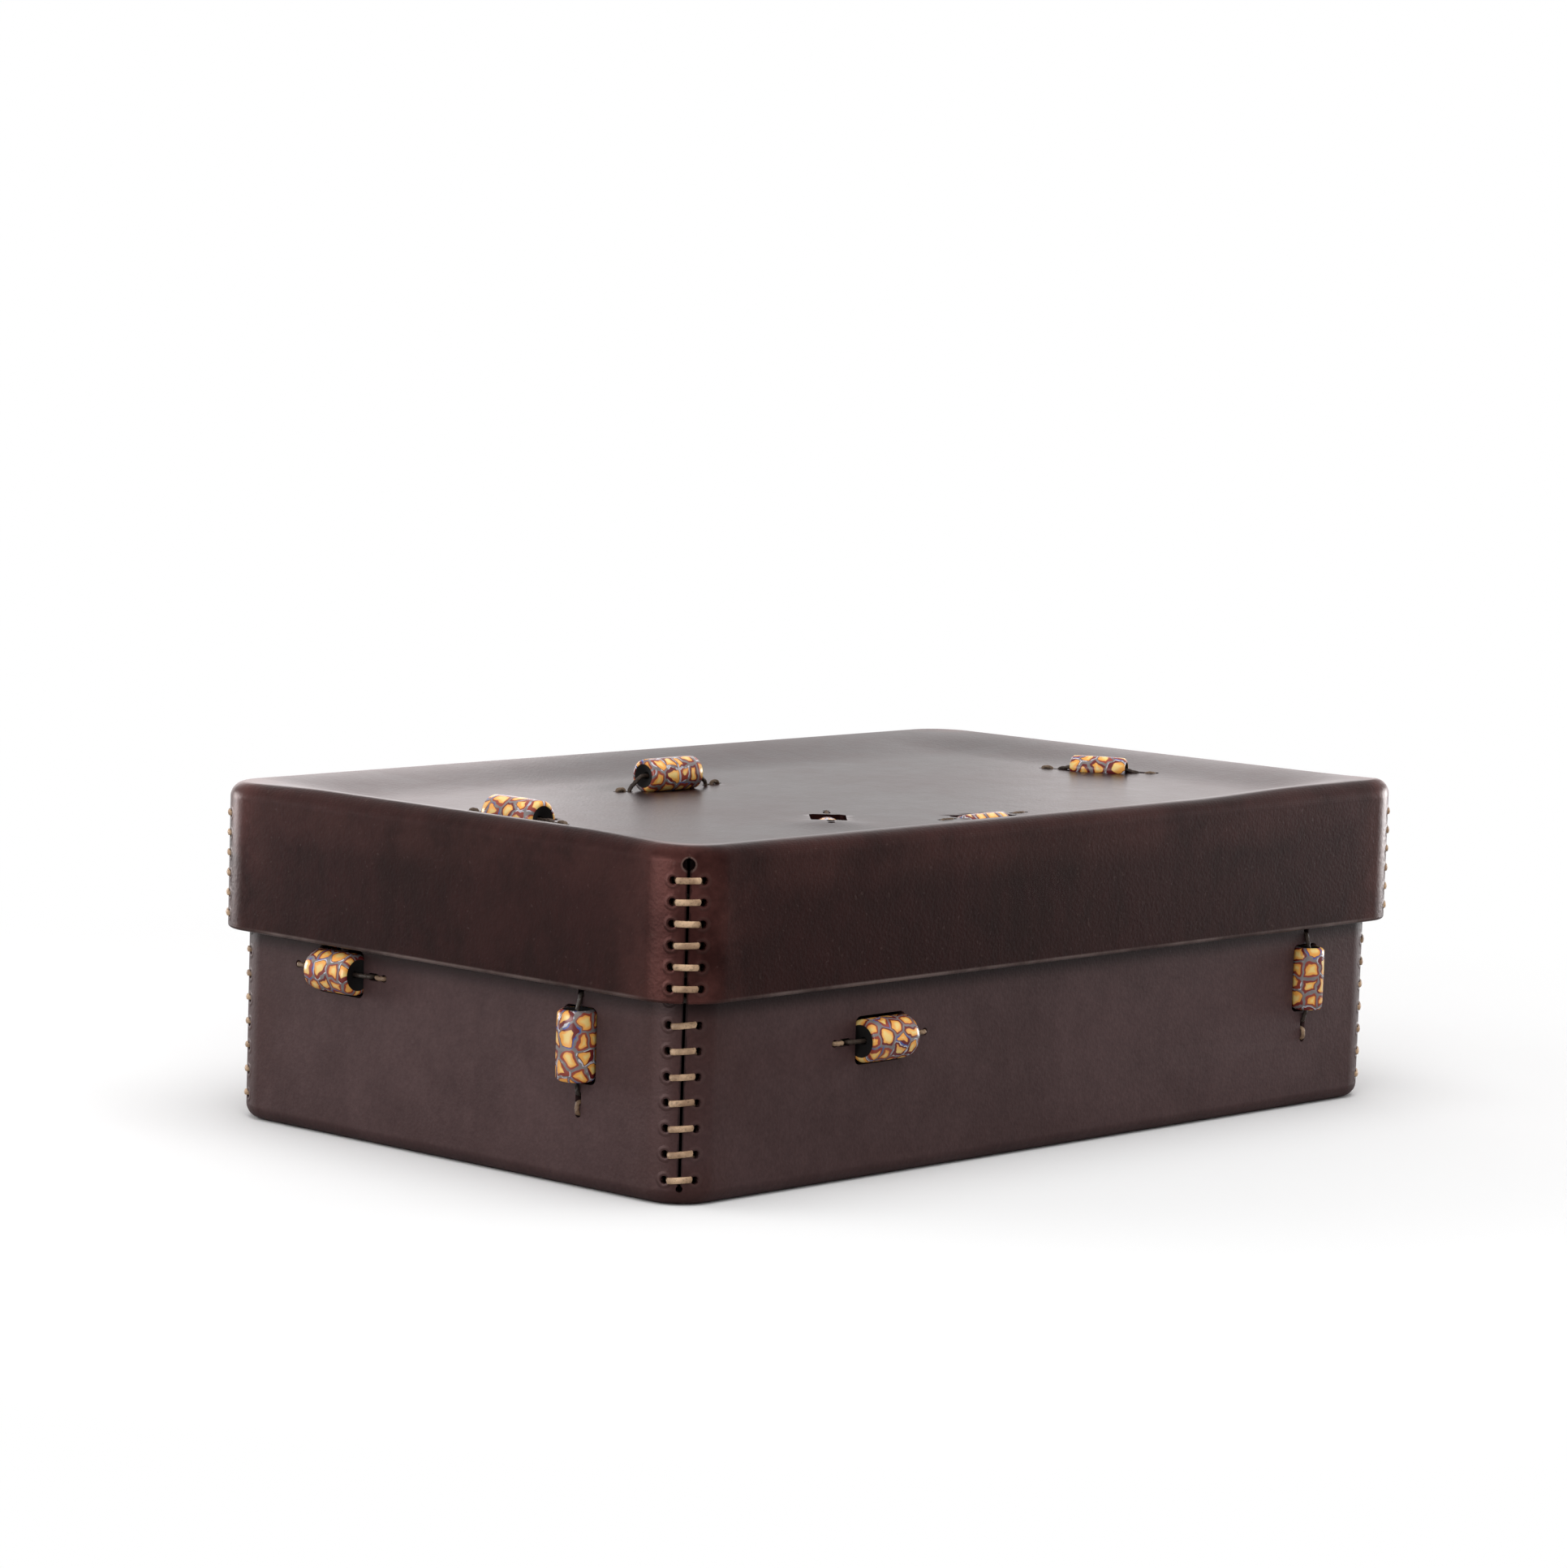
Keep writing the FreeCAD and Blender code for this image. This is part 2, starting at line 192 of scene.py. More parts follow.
# What grain, pores and patches add to the colour and to the height of the leather.
GRAIN_LEVEL = 0.7
GRAIN_CONTRAST = 0.6
GRAIN_HEIGHT = 0.6
PORE_HEIGHT = 0.4
FINE_HEIGHT = 0.4
PATCH_HEIGHT = 0.6
# Where a noise turns into wear: burnish, the rim's pale line of burnish and painted highlight, scuffs, the
# thread's wear and its fibres.
BURNISH_TURN = (0.25, 0.65)
RIM_TURN = (0.35, 0.65)
SCUFF_TURN = (0.66, 0.76)
THREAD_TURN = (0.35, 0.65)
FIBRE_TURN = (0.25, 0.5)
FIBRE_SHADE = 0.5
# Bumps: strength, and distance in millimetres.
GRAIN_BUMP = (0.3, 0.6)
LIP_BUMP = (0.35, 0.4)
FIBRE_BUMP = (0.5, 0.2)

# Marks on the leather, in millimetres: each runs smoothly from its first distance to its second.
SEAM_WEAR = (2.0, 30.0)
OFF_CORNER = (3.0, 20.0)
FOLD_BAND = (3.0, 14.0)
FOLD_DEPTH = (-9.0, -1.0)
# Painted shade in the mouths of the stitch holes.
HOLE_SHADE_REACH = (0.9, 1.3)
# The puckered lip round each hole: a bump, and a painted highlight.
LIP_RISE = (1.2, 1.6)
LIP_FALL = (1.7, 2.6)
# Painted shade along the seam's gap, up to where the slit ends.
SLIT_EDGE = (-0.2, 0.3)
SLIT_END = (-1.0, 1.0)
RELIEF_EDGE = (0.2, 0.5)
RIM_LINE = (0.4, 1.1)
# Heights on the tray over which painted shadow under the lid's rim darkens it, and over which that eases
# again to the darker skirt tone.
RIM_SHADOW_FADE = (51.4, 57.0)
SKIRT_FADE = (59.0, 84.0)
# The middle of the pale ring at the relief hole, its cut edge with a painted glint, how far the painted shade
# along the slit wanders, and the fold's share of burnish.
RELIEF_RING = RELIEF_RADIUS + 0.15
SLIT_FRAY = -1.5
FOLD_WEAR = 0.25
# How strongly each mark shows.
LIP_HIGHLIGHT_SHOWS = 0.1
RELIEF_SHOWS = 0.6
HOLE_SHADE_SHOWS = 0.9
SLIT_SHOWS = 0.75
RIM_LEAST = 0.25
RIM_WEAR_AND_HIGHLIGHT = 0.6

# Colours of leather and thread.
# Pale raw leather for scuffs, and the same tone as painted highlight on the hole lips and the relief hole's
# edge.
RAW_AND_HIGHLIGHT_TONE = rgb(104, 86, 80)
# The rim's burnished edge, lightened further as a painted highlight.
RIM_HIGHLIGHT_TONE = rgb(118, 103, 99)
# Painted shadow on the tray just under the lid's rim, and a darker leather tone higher up under the skirt.
RIM_SHADOW_TONE = rgb(25, 15, 15)
SKIRT_TONE = rgb(50, 34, 34)
# Painted shade in the stitch holes and along the seam's gap.
GAP_SHADE_TONE = rgb(9, 6, 6)
THREAD_TONES = (rgb(160, 128, 101), rgb(222, 187, 152))
# Darker thread tones: the darker bead threads, and painted shade near the beads and under the lid's rim.
DARK_AND_SHADED_THREAD_TONES = (rgb(44, 35, 30), rgb(72, 60, 52))

# The glass pattern, laid out in millimetres, and its colours.
CELL_DENSITY = 0.2
CELL_RANDOMNESS = 0.66
CELL_GAP = 0.42
CELL_GIRTH = 2.7
CELL_GIRTH_SPREAD = 1.2
CELL_SLENDERNESS = 0.74
CELL_BLEND = 0.8
RING_WIDTH = 0.56
RING_LOPSIDED = 0.4
RING_LEAST = 0.16
WOBBLE_SCALE = 0.32
WOBBLE_REACH = 2.4
MATRIX_SCALE = 0.45
STREAK_SCALE = 0.5
STREAK_TURN = (0.46, 0.54)
# Depths inside a cell, or outside it below 0, where the colours turn. The core's counts from its ring on.
AMBER_DEPTH = (0.7, 1.7)
CORE_EDGE = (-0.12, 0.12)
RING_EDGE = (-0.12, 0.02)
LINE_DEPTH = (-0.42, -0.3)
# Every cell's random picks: how lopsided its ring is, the ring's tone, whether it has a line, and a blue one.
LOPSIDED_PICK = (0.3, 0.8)
RING_PICK = (0.2, 0.8)
LINED_ABOVE = 0.6
BLUE_ABOVE = 0.86
# Where a bead's end turns dark and dull.
END_TURN = (0.35, 0.65)
END_DULL = (0.2, 0.5)
GLASS_ROUGHNESS = 0.26
END_ROUGHNESS = 0.7
AMBER_TONES = (rgb(255, 178, 84), rgb(255, 219, 138))
RING_TONES = (rgb(158, 70, 54), rgb(112, 36, 38))
MATRIX_TONES = (rgb(104, 96, 97), rgb(158, 149, 148))
LINE_TONES = (rgb(214, 212, 220), rgb(70, 96, 178))
# Both ends of a bead are painted near black.
END_TONE = rgb(14, 10, 9)

# The studio, in metres and watts. Each light: name, place, target, size and power.
FLOOR_REACH = 6.0
BACKDROP_FADE = (0.26, 0.5)
FILL_STRENGTH = 0.3
BACK_TINT = (1.0, 0.9, 0.9)
SOFT_LIGHTS = (
    ("overhead", (-0.2, -0.3, 1.7), (0, 0, 0), (1.6, 1.6), 22.0),
    ("front", (-1.3, -1.2, 1.0), (0, 0, 0.05), (1.2, 1.2), 8.0),
    ("left", (-0.7, 0.75, 0.4), (-0.1, 0, 0.05), (0.7, 0.5), 3.0),
    ("right", (0.95, -0.6, 0.4), (0.1, 0, 0.05), (0.7, 0.5), 1.6),
)
BACK_LIGHTS = (
    ("back", (1.25, 1.16, 0.42), (0, 0, 0.1), (2.6, 0.8), 2.0),
    ("back left", (0.89, 1.68, 0.42), (0, 0, 0.1), (1.0, 0.8), 3.4),
    ("back right", (1.74, 0.77, 0.42), (0, 0, 0.1), (1.0, 0.8), 2.2),
)
SHEEN_LIGHTS = (
    ("left end sheen", (-0.31, 0.78, 0.12), (-0.16, 0.09, 0.07), (0.26, 0.24), 3.0),
    ("right end sheen", (0.85, -0.17, 0.12), (0.15, -0.1, 0.07), (0.26, 0.24), 3.4),
    ("corner sheen", (-0.66, -0.03, 0.12), (-0.16, -0.09, 0.06), (0.4, 0.3), 4.0),
)
CAMERA_PLACE = (-1.19182, -1.08866, 0.27470)
CAMERA_AZIMUTH = math.radians(47.095)
CAMERA_PITCH = math.radians(6.160)
CAMERA_ROLL = math.radians(1.808)


class Nodes:
    """Short calls for building one shader or geometry node tree."""

    # Where a mix node that is set to colours has its factor, its two colours and its result.
    MIX_FACTOR = 0
    MIX_FIRST = 6
    MIX_SECOND = 7
    MIX_RESULT = 2

    def __init__(self, tree):
        self.tree = tree

    def add(self, kind, inputs=None, **settings):
        """A new node with its settings and its inputs, each a value or another node's socket."""
        node = self.tree.nodes.new(kind)
        for name, value in settings.items():
            setattr(node, name, value)
        for name, value in (inputs or {}).items():
            self.feed(node.inputs[name], value)
        return node

    def feed(self, socket, value):
        if isinstance(value, bpy.types.NodeSocket):
            self.tree.links.new(value, socket)
        else:
            socket.default_value = value

    def group(self, tree, inputs):
        return self.add("ShaderNodeGroup", inputs, node_tree=tree).outputs

    def attribute(self, name):
        return self.add("ShaderNodeAttribute", attribute_name=name).outputs["Fac"]

    def math(self, operation, *values):
        node = self.add("ShaderNodeMath", dict(enumerate(values)), operation=operation)
        return node.outputs[0]

    def vector(self, operation, *values):
        node = self.add("ShaderNodeVectorMath", dict(enumerate(values)), operation=operation)
        return node.outputs[0]

    def scaled(self, vector, scale):
        node = self.add("ShaderNodeVectorMath", {0: vector, "Scale": scale}, operation="SCALE")
        return node.outputs[0]

    def axes(self, vector):
        return self.add("ShaderNodeSeparateXYZ", {"Vector": vector}).outputs

    def hypot(self, first, second):
        """The length of the long side over two sides at a right angle."""
        squares = self.math("ADD", self.math("POWER", first, 2.0), self.math("POWER", second, 2.0))
        return self.math("SQRT", squares)

    def inverse(self, share):
        return self.math("SUBTRACT", 1.0, share)

    def ramp(self, value, low, high):
        """0 below low, 1 above high, smooth between."""
        node = self.add("ShaderNodeMapRange", {"Value": value, "From Min": low, "From Max": high})
        node.interpolation_type = "SMOOTHSTEP"
        return node.outputs["Result"]

    def span(self, value, limits):
        """A ramp between two limits in millimetres."""
        low, high = limits
        return self.ramp(value, low * MM, high * MM)

    def band(self, value, middle, limits):
        """1 near a middle value, 0 far from it, smooth between two distances in millimetres."""
        away = self.math("ABSOLUTE", self.math("SUBTRACT", value, middle))
        return self.inverse(self.span(away, limits))

    def mix(self, factor, first, second):
        node = self.add("ShaderNodeMix", data_type="RGBA")
        self.feed(node.inputs[self.MIX_FACTOR], factor)
        self.feed(node.inputs[self.MIX_FIRST], first)
        self.feed(node.inputs[self.MIX_SECOND], second)
        return node.outputs[self.MIX_RESULT]

    def shaded(self, color, level):
        """A colour made darker or lighter by a level."""
        node = self.add("ShaderNodeMix", data_type="RGBA", blend_type="MULTIPLY")
        node.inputs[self.MIX_FACTOR].default_value = 1.0
        self.feed(node.inputs[self.MIX_FIRST], color)
        shade = self.add("ShaderNodeCombineColor", {"Red": level, "Green": level, "Blue": level})
        self.feed(node.inputs[self.MIX_SECOND], shade.outputs[0])
        return node.outputs[self.MIX_RESULT]

    def noise(self, vector, scale, detail, roughness=0.55):
        node = self.add("ShaderNodeTexNoise", {
            "Vector": vector, "Scale": scale, "Detail": detail, "Roughness": roughness,
        })
        return node.outputs["Fac"]

    def bump(self, height, amount, inputs=None):
        """A normal raised by a height, with a strength and a distance in millimetres."""
        strength, distance = amount
        node = self.add("ShaderNodeBump", {
            "Height": height, "Strength": strength, "Distance": distance * MM, **(inputs or {}),
        })
        return node.outputs["Normal"]


def open_tree(name, kind, inputs, outputs):
    """An empty node group with named sockets: its nodes, its inputs' sockets and its outputs' sockets."""
    tree = bpy.data.node_groups.new(name, kind)
    for label, socket_type, default in inputs:
        socket = tree.interface.new_socket(label, in_out="INPUT", socket_type=socket_type)
        if default is not None:
            socket.default_value = default
    for label, socket_type in outputs:
        tree.interface.new_socket(label, in_out="OUTPUT", socket_type=socket_type)
    nodes = Nodes(tree)
    given = nodes.add("NodeGroupInput").outputs
    return nodes, given, nodes.add("NodeGroupOutput").inputs


def leather_group():
    """Colour, roughness and grain height of burnished leather."""
    nodes, given, result = open_tree(
        "burnished leather", "ShaderNodeTree",
        [
            ("Vector", "NodeSocketVector", None),
            ("Dark", "NodeSocketColor", rgb(34, 19, 19)),
            ("Light", "NodeSocketColor", rgb(49, 30, 29)),
            ("Burnish", "NodeSocketColor", rgb(76, 38, 32)),
            ("Burnish Mask", "NodeSocketFloat", 0.0),
            ("Satin", "NodeSocketFloat", 0.36),
            ("Streaks", "NodeSocketFloat", 0.3),
        ],
        [("Color", "NodeSocketColor"), ("Roughness", "NodeSocketFloat"), ("Height", "NodeSocketFloat")],
    )
    where = given["Vector"]
    clouds = nodes.noise(where, *CLOUDS)
    patches = nodes.noise(where, *PATCHES)
    grain = nodes.noise(where, *GRAIN)
    pore = nodes.add("ShaderNodeTexVoronoi", {"Vector": where, "Scale": PORE_SCALE}).outputs["Distance"]
    streaks = nodes.noise(nodes.vector("MULTIPLY", where, STREAK_STRETCH), *STREAKS)
    broad = nodes.math("MULTIPLY_ADD", clouds, CLOUD_SHARE, nodes.math("MULTIPLY", patches, PATCH_SHARE))
    streaked = nodes.math("MULTIPLY", nodes.math("SUBTRACT", streaks, 0.5), given["Streaks"])
    blotch = nodes.math("ADD", nodes.math("ADD", broad, BLOTCH_LEVEL), streaked)
    tone = nodes.mix(nodes.ramp(blotch, *BLOTCH_TURN), given["Dark"], given["Light"])
    burnt = nodes.mix(given["Burnish Mask"], tone, given["Burnish"])
    grained = nodes.math("MULTIPLY_ADD", grain, GRAIN_CONTRAST, GRAIN_LEVEL)
    nodes.feed(result["Color"], nodes.shaded(burnt, grained))
    nodes.feed(result["Roughness"], nodes.math("MULTIPLY_ADD", blotch, BLOTCH_ROUGHNESS, given["Satin"]))
    fine = nodes.math("MULTIPLY_ADD", grain, GRAIN_HEIGHT, nodes.math("MULTIPLY", pore, PORE_HEIGHT))
    coarse = nodes.math("MULTIPLY", patches, PATCH_HEIGHT)
    nodes.feed(result["Height"], nodes.math("MULTIPLY_ADD", fine, FINE_HEIGHT, coarse))
    return nodes.tree


def corner_group():
    """Where a point lies at its laced corner: how near the seam, and how far from a punched hole."""
    nodes, given, result = open_tree(
        "laced corner", "ShaderNodeTree",
        [
            ("Vector", "NodeSocketVector", None),
            ("Middle X", "NodeSocketFloat", 0.0),
            ("Middle Y", "NodeSocketFloat", 0.0),
            ("Radius", "NodeSocketFloat", 0.015),
            ("First", "NodeSocketFloat", 0.0),
            ("Pitch", "NodeSocketFloat", 0.007),
            ("Count", "NodeSocketFloat", 6.0),
        ],
        [
            ("Near Seam", "NodeSocketFloat"),
            ("Seam Distance", "NodeSocketFloat"),
            ("Hole Distance", "NodeSocketFloat"),
        ],
    )
    place = nodes.axes(given["Vector"])
    across = nodes.math("SUBTRACT", nodes.math("ABSOLUTE", place["X"]), given["Middle X"])
    along = nodes.math("SUBTRACT", nodes.math("ABSOLUTE", place["Y"]), given["Middle Y"])
    angle = nodes.math("SUBTRACT", nodes.math("ARCTAN2", along, across), math.pi / 4)
    arc = nodes.math("ABSOLUTE", nodes.math("MULTIPLY", angle, given["Radius"]))
    away = nodes.math("SUBTRACT", nodes.hypot(across, along), given["Radius"])
    off_corner = nodes.span(nodes.math("ABSOLUTE", away), OFF_CORNER)
    near = nodes.inverse(nodes.span(arc, SEAM_WEAR))
    nodes.feed(result["Near Seam"], nodes.math("MULTIPLY", near, nodes.inverse(off_corner)))
    steps = nodes.math("DIVIDE", nodes.math("SUBTRACT", place["Z"], given["First"]), given["Pitch"])
    nearest = nodes.math("MINIMUM", nodes.math("ROUND", steps), given["Count"])
    nearest = nodes.math("MAXIMUM", 0.0, nearest)
    up = nodes.math("MULTIPLY", nodes.math("SUBTRACT", steps, nearest), given["Pitch"])
    side = nodes.math("SUBTRACT", arc, HOLE_OFFSET * MM)
    nodes.feed(result["Hole Distance"], nodes.math("ADD", nodes.hypot(up, side), off_corner))
    nodes.feed(result["Seam Distance"], nodes.math("ADD", arc, off_corner))
    return nodes.tree


def new_material(name):
    """A material with its nodes and its shader."""
    material = bpy.data.materials.new(name)
    material.use_nodes = True
    nodes = Nodes(material.node_tree)
    shader = material.node_tree.nodes["Principled BSDF"]
    return material, nodes, shader


def leather_material(name, shell, dark, light, burnish, tint, satin, streaks, scuffs, rim_shadow_share):
    """Leather for one shell: burnished at the fold and the laced corners, puckered round the holes; painted
    shade in the holes, the seam's gap and, on the tray, under the lid's rim, and painted highlights on the
    hole lips, the relief hole and the rim.
    """
    material, nodes, shader = new_material(name)
    where = nodes.add("ShaderNodeTexCoord").outputs["Object"]
    height = nodes.axes(where)["Z"]
    seam = nodes.group(CORNER_GROUP, {
        "Vector": where, "Middle X": shell.middle_x * MM, "Middle Y": shell.middle_y * MM,
        "Radius": shell.corner * MM, "First": shell.first_stitch * MM,
        "Pitch": shell.pitch * MM, "Count": shell.stitches - 1.0,
    })

    sides = nodes.axes(nodes.vector("ABSOLUTE", where))
    past_x = nodes.math("SUBTRACT", sides["X"], shell.half_x * MM)
    past_y = nodes.math("SUBTRACT", sides["Y"], shell.half_y * MM)
    outer = nodes.span(nodes.math("MAXIMUM", past_x, past_y), FOLD_DEPTH)
    folded = nodes.math("MULTIPLY", nodes.band(height, shell.fold * MM, FOLD_BAND), outer)
    rubbed = nodes.noise(where, *RUBS)
    worn = nodes.math("MAXIMUM", nodes.math("MULTIPLY", folded, FOLD_WEAR), seam["Near Seam"])
    hide = nodes.group(LEATHER_GROUP, {
        "Vector": where, "Dark": dark, "Light": light, "Burnish": burnish,
        "Satin": satin, "Streaks": streaks,
        "Burnish Mask": nodes.math("MULTIPLY", worn, nodes.ramp(rubbed, *BURNISH_TURN)),
    })

    hole = seam["Hole Distance"]
    # Painted shade in the mouths of the stitch holes.
    hole_shade = nodes.inverse(nodes.span(hole, HOLE_SHADE_REACH))
    lip = nodes.math("MULTIPLY", nodes.span(hole, LIP_RISE), nodes.inverse(nodes.span(hole, LIP_FALL)))
    # Painted shade along the seam's gap, with a ragged edge.
    ragged = nodes.math("MULTIPLY_ADD", nodes.noise(where, *FRAYS), SLIT_FRAY * MM, seam["Seam Distance"])
    from_end = nodes.math("SUBTRACT", height, shell.seam_end * MM)
    from_end = nodes.math("MULTIPLY", from_end, shell.seam_way)
    slit = nodes.inverse(nodes.span(ragged, SLIT_EDGE))
    slit = nodes.math("MULTIPLY", slit, nodes.span(from_end, SLIT_END))
    relief = nodes.hypot(nodes.math("SUBTRACT", height, RELIEF_HEIGHT * MM), seam["Seam Distance"])
    cut_edge_and_glint = nodes.band(relief, RELIEF_RING * MM, RELIEF_EDGE)
    # The pale line along the rim: burnish, and a painted highlight, left out near the seam.
    rim_wear_and_highlight = nodes.math("MULTIPLY_ADD", nodes.ramp(rubbed, *RIM_TURN), RIM_WEAR_AND_HIGHLIGHT, RIM_LEAST)
    rim = nodes.math("MULTIPLY", nodes.band(height, shell.rim * MM, RIM_LINE), rim_wear_and_highlight)
    scuffed = nodes.math("MULTIPLY", nodes.ramp(nodes.noise(where, *SCUFFS), *SCUFF_TURN), scuffs)
    # Painted shadow on the tray just under the lid's rim, easing higher up to a darker tone under the skirt.
    shadow_then_skirt = nodes.mix(nodes.span(height, SKIRT_FADE), RIM_SHADOW_TONE, SKIRT_TONE)
    rim_shadow_mask = nodes.math("MULTIPLY", nodes.span(height, RIM_SHADOW_FADE), rim_shadow_share)

    color = nodes.mix(scuffed, hide["Color"], RAW_AND_HIGHLIGHT_TONE)
    # A painted highlight on the puckered lip round each hole.
    color = nodes.mix(nodes.math("MULTIPLY", lip, LIP_HIGHLIGHT_SHOWS), color, RAW_AND_HIGHLIGHT_TONE)
    color = nodes.mix(nodes.math("MULTIPLY", rim, nodes.inverse(seam["Near Seam"])), color, RIM_HIGHLIGHT_TONE)
    # The relief hole's cut edge, paler, with a painted glint on it.
    color = nodes.mix(nodes.math("MULTIPLY", cut_edge_and_glint, RELIEF_SHOWS), color, RAW_AND_HIGHLIGHT_TONE)
    color = nodes.mix(rim_shadow_mask, color, shadow_then_skirt)
    # Painted shade in the holes and the seam's gap, laid over the colour.
    gap_shade = nodes.math(
        "MAXIMUM", nodes.math("MULTIPLY", hole_shade, HOLE_SHADE_SHOWS), nodes.math("MULTIPLY", slit, SLIT_SHOWS),
    )
    nodes.feed(shader.inputs["Base Color"], nodes.mix(gap_shade, color, GAP_SHADE_TONE))
    nodes.feed(shader.inputs["Roughness"], hide["Roughness"])
    shader.inputs["Specular IOR Level"].default_value = 0.13
    shader.inputs["Specular Tint"].default_value = tint
    grain = nodes.bump(hide["Height"], GRAIN_BUMP)
    nodes.feed(shader.inputs["Normal"], nodes.bump(lip, LIP_BUMP, {"Normal": grain}))
    return material


def thread_material():
    """Waxed thread, pale where it is rubbed and dark where its stored shade says so: darker bead threads, and
    painted shade near the beads and under the lid's rim.
    """
    material, nodes, shader = new_material("waxed thread")
    where = nodes.add("ShaderNodeTexCoord").outputs["Object"]
    fibre = nodes.noise(where, *FIBRES)
    wear = nodes.ramp(nodes.noise(where, *THREAD_WEAR), *THREAD_TURN)
    bright = nodes.mix(wear, *THREAD_TONES)
    dull = nodes.mix(wear, *DARK_AND_SHADED_THREAD_TONES)
    tone = nodes.mix(nodes.attribute("thread_shade"), bright, dull)
    twisted = nodes.mix(nodes.ramp(fibre, *FIBRE_TURN), nodes.shaded(tone, FIBRE_SHADE), tone)
    nodes.feed(shader.inputs["Base Color"], twisted)
    shader.inputs["Roughness"].default_value = 0.55
    shader.inputs["Specular IOR Level"].default_value = 0.25
    nodes.feed(shader.inputs["Normal"], nodes.bump(fibre, FIBRE_BUMP))
    return material


def bead_material():
    """Mosaic glass: amber cells ringed in dark red, set in grey with pale and blue lines."""
    material, nodes, shader = new_material("mosaic glass")
    sheet = nodes.add("ShaderNodeUVMap").outputs["UV"]
    wobble = nodes.add("ShaderNodeTexNoise", {"Vector": sheet, "Scale": WOBBLE_SCALE, "Detail": 1.0})
    shift = nodes.vector("SUBTRACT", wobble.outputs["Color"], (0.5, 0.5, 0.5))
    bent = nodes.vector("ADD", sheet, nodes.scaled(shift, WOBBLE_REACH))
    cells = {"Vector": bent, "Scale": CELL_DENSITY, "Randomness": CELL_RANDOMNESS}
    border = nodes.add("ShaderNodeTexVoronoi", cells, voronoi_dimensions="2D", feature="DISTANCE_TO_EDGE")
    cell = nodes.add("ShaderNodeTexVoronoi", cells, voronoi_dimensions="2D", feature="F1").outputs
    pick = nodes.add("ShaderNodeSeparateColor", {"Color": cell["Color"]}).outputs

    turned = nodes.add("ShaderNodeVectorRotate", {
        "Vector": nodes.vector("SUBTRACT", bent, cell["Position"]),
        "Angle": nodes.math("MULTIPLY", pick["Red"], FULL_TURN),
    }, rotation_type="Z_AXIS")
    place = nodes.axes(turned.outputs[0])
    oval = nodes.hypot(nodes.math("MULTIPLY", place["X"], CELL_SLENDERNESS), place["Y"])
    girth = nodes.math("MULTIPLY_ADD", pick["Blue"], CELL_GIRTH_SPREAD, CELL_GIRTH)
    inside_oval = nodes.math("SUBTRACT", girth, oval)
    inside_cell = nodes.math("DIVIDE", border.outputs["Distance"], CELL_DENSITY)
    inside_cell = nodes.math("SUBTRACT", inside_cell, CELL_GAP)
    depth = nodes.math("SMOOTH_MIN", inside_cell, inside_oval, CELL_BLEND)
    lopsided = nodes.math("MULTIPLY", place["X"], nodes.ramp(pick["Green"], *LOPSIDED_PICK))
    ring_width = nodes.math("MULTIPLY_ADD", lopsided, RING_LOPSIDED, RING_WIDTH)
    ring_width = nodes.math("MAXIMUM", ring_width, RING_LEAST)

    core = nodes.mix(nodes.ramp(depth, *AMBER_DEPTH), *AMBER_TONES)
    ring = nodes.mix(nodes.ramp(pick["Blue"], *RING_PICK), *RING_TONES)
    matrix = nodes.mix(nodes.noise(sheet, MATRIX_SCALE, 1.0), *MATRIX_TONES)
    line = nodes.mix(nodes.math("GREATER_THAN", pick["Green"], BLUE_ABOVE), *LINE_TONES)
    streak = nodes.ramp(nodes.noise(sheet, STREAK_SCALE, 1.0), *STREAK_TURN)
    lined = nodes.math("GREATER_THAN", pick["Green"], LINED_ABOVE)
    beside = nodes.math("MULTIPLY", nodes.ramp(depth, *LINE_DEPTH), lined)
    pattern = nodes.mix(nodes.math("MULTIPLY", beside, streak), matrix, line)
    pattern = nodes.mix(nodes.ramp(depth, *RING_EDGE), pattern, ring)
    in_core = nodes.ramp(nodes.math("SUBTRACT", depth, ring_width), *CORE_EDGE)
    pattern = nodes.mix(in_core, pattern, core)

    end = nodes.attribute("bead_end")
    dull = nodes.math("MULTIPLY_ADD", nodes.ramp(end, *END_DULL), END_ROUGHNESS, GLASS_ROUGHNESS)
    nodes.feed(shader.inputs["Base Color"], nodes.mix(nodes.ramp(end, *END_TURN), pattern, END_TONE))
    nodes.feed(shader.inputs["Roughness"], dull)
    shader.inputs["Specular IOR Level"].default_value = 0.3
    return material


def mesh_object(name, vertices, edges, faces):
    """A new mesh in the scene."""
    mesh = bpy.data.meshes.new(name)
    mesh.from_pydata(vertices, edges, faces)
    made = bpy.data.objects.new(name, mesh)
    bpy.context.scene.collection.objects.link(made)
    return made


def settle(made):
    """Turns an object's modifiers into plain mesh."""
    bpy.context.view_layer.update()
    graph = bpy.context.evaluated_depsgraph_get()
    mesh = bpy.data.meshes.new_from_object(made.evaluated_get(graph), depsgraph=graph)
    mesh.name = made.name
    made.modifiers.clear()
    made.data = mesh
    return made


def ease(value):
    """0 below 0, 1 above 1, smooth between."""
    share = min(max(value, 0.0), 1.0)
    return share * share * (3 - 2 * share)


def sag(inward, limits):
    """How far the soft sag has come, from 0 to 1, at a distance inward from an edge."""
    start, run = limits
    return ease((inward - start) / run)


def crest(inward):
    """The crest's profile at a distance inward from an edge: up to 1 and down again."""
    return ease(inward / CREST_RISE) * ease((CREST_WIDTH - inward) / CREST_FALL)


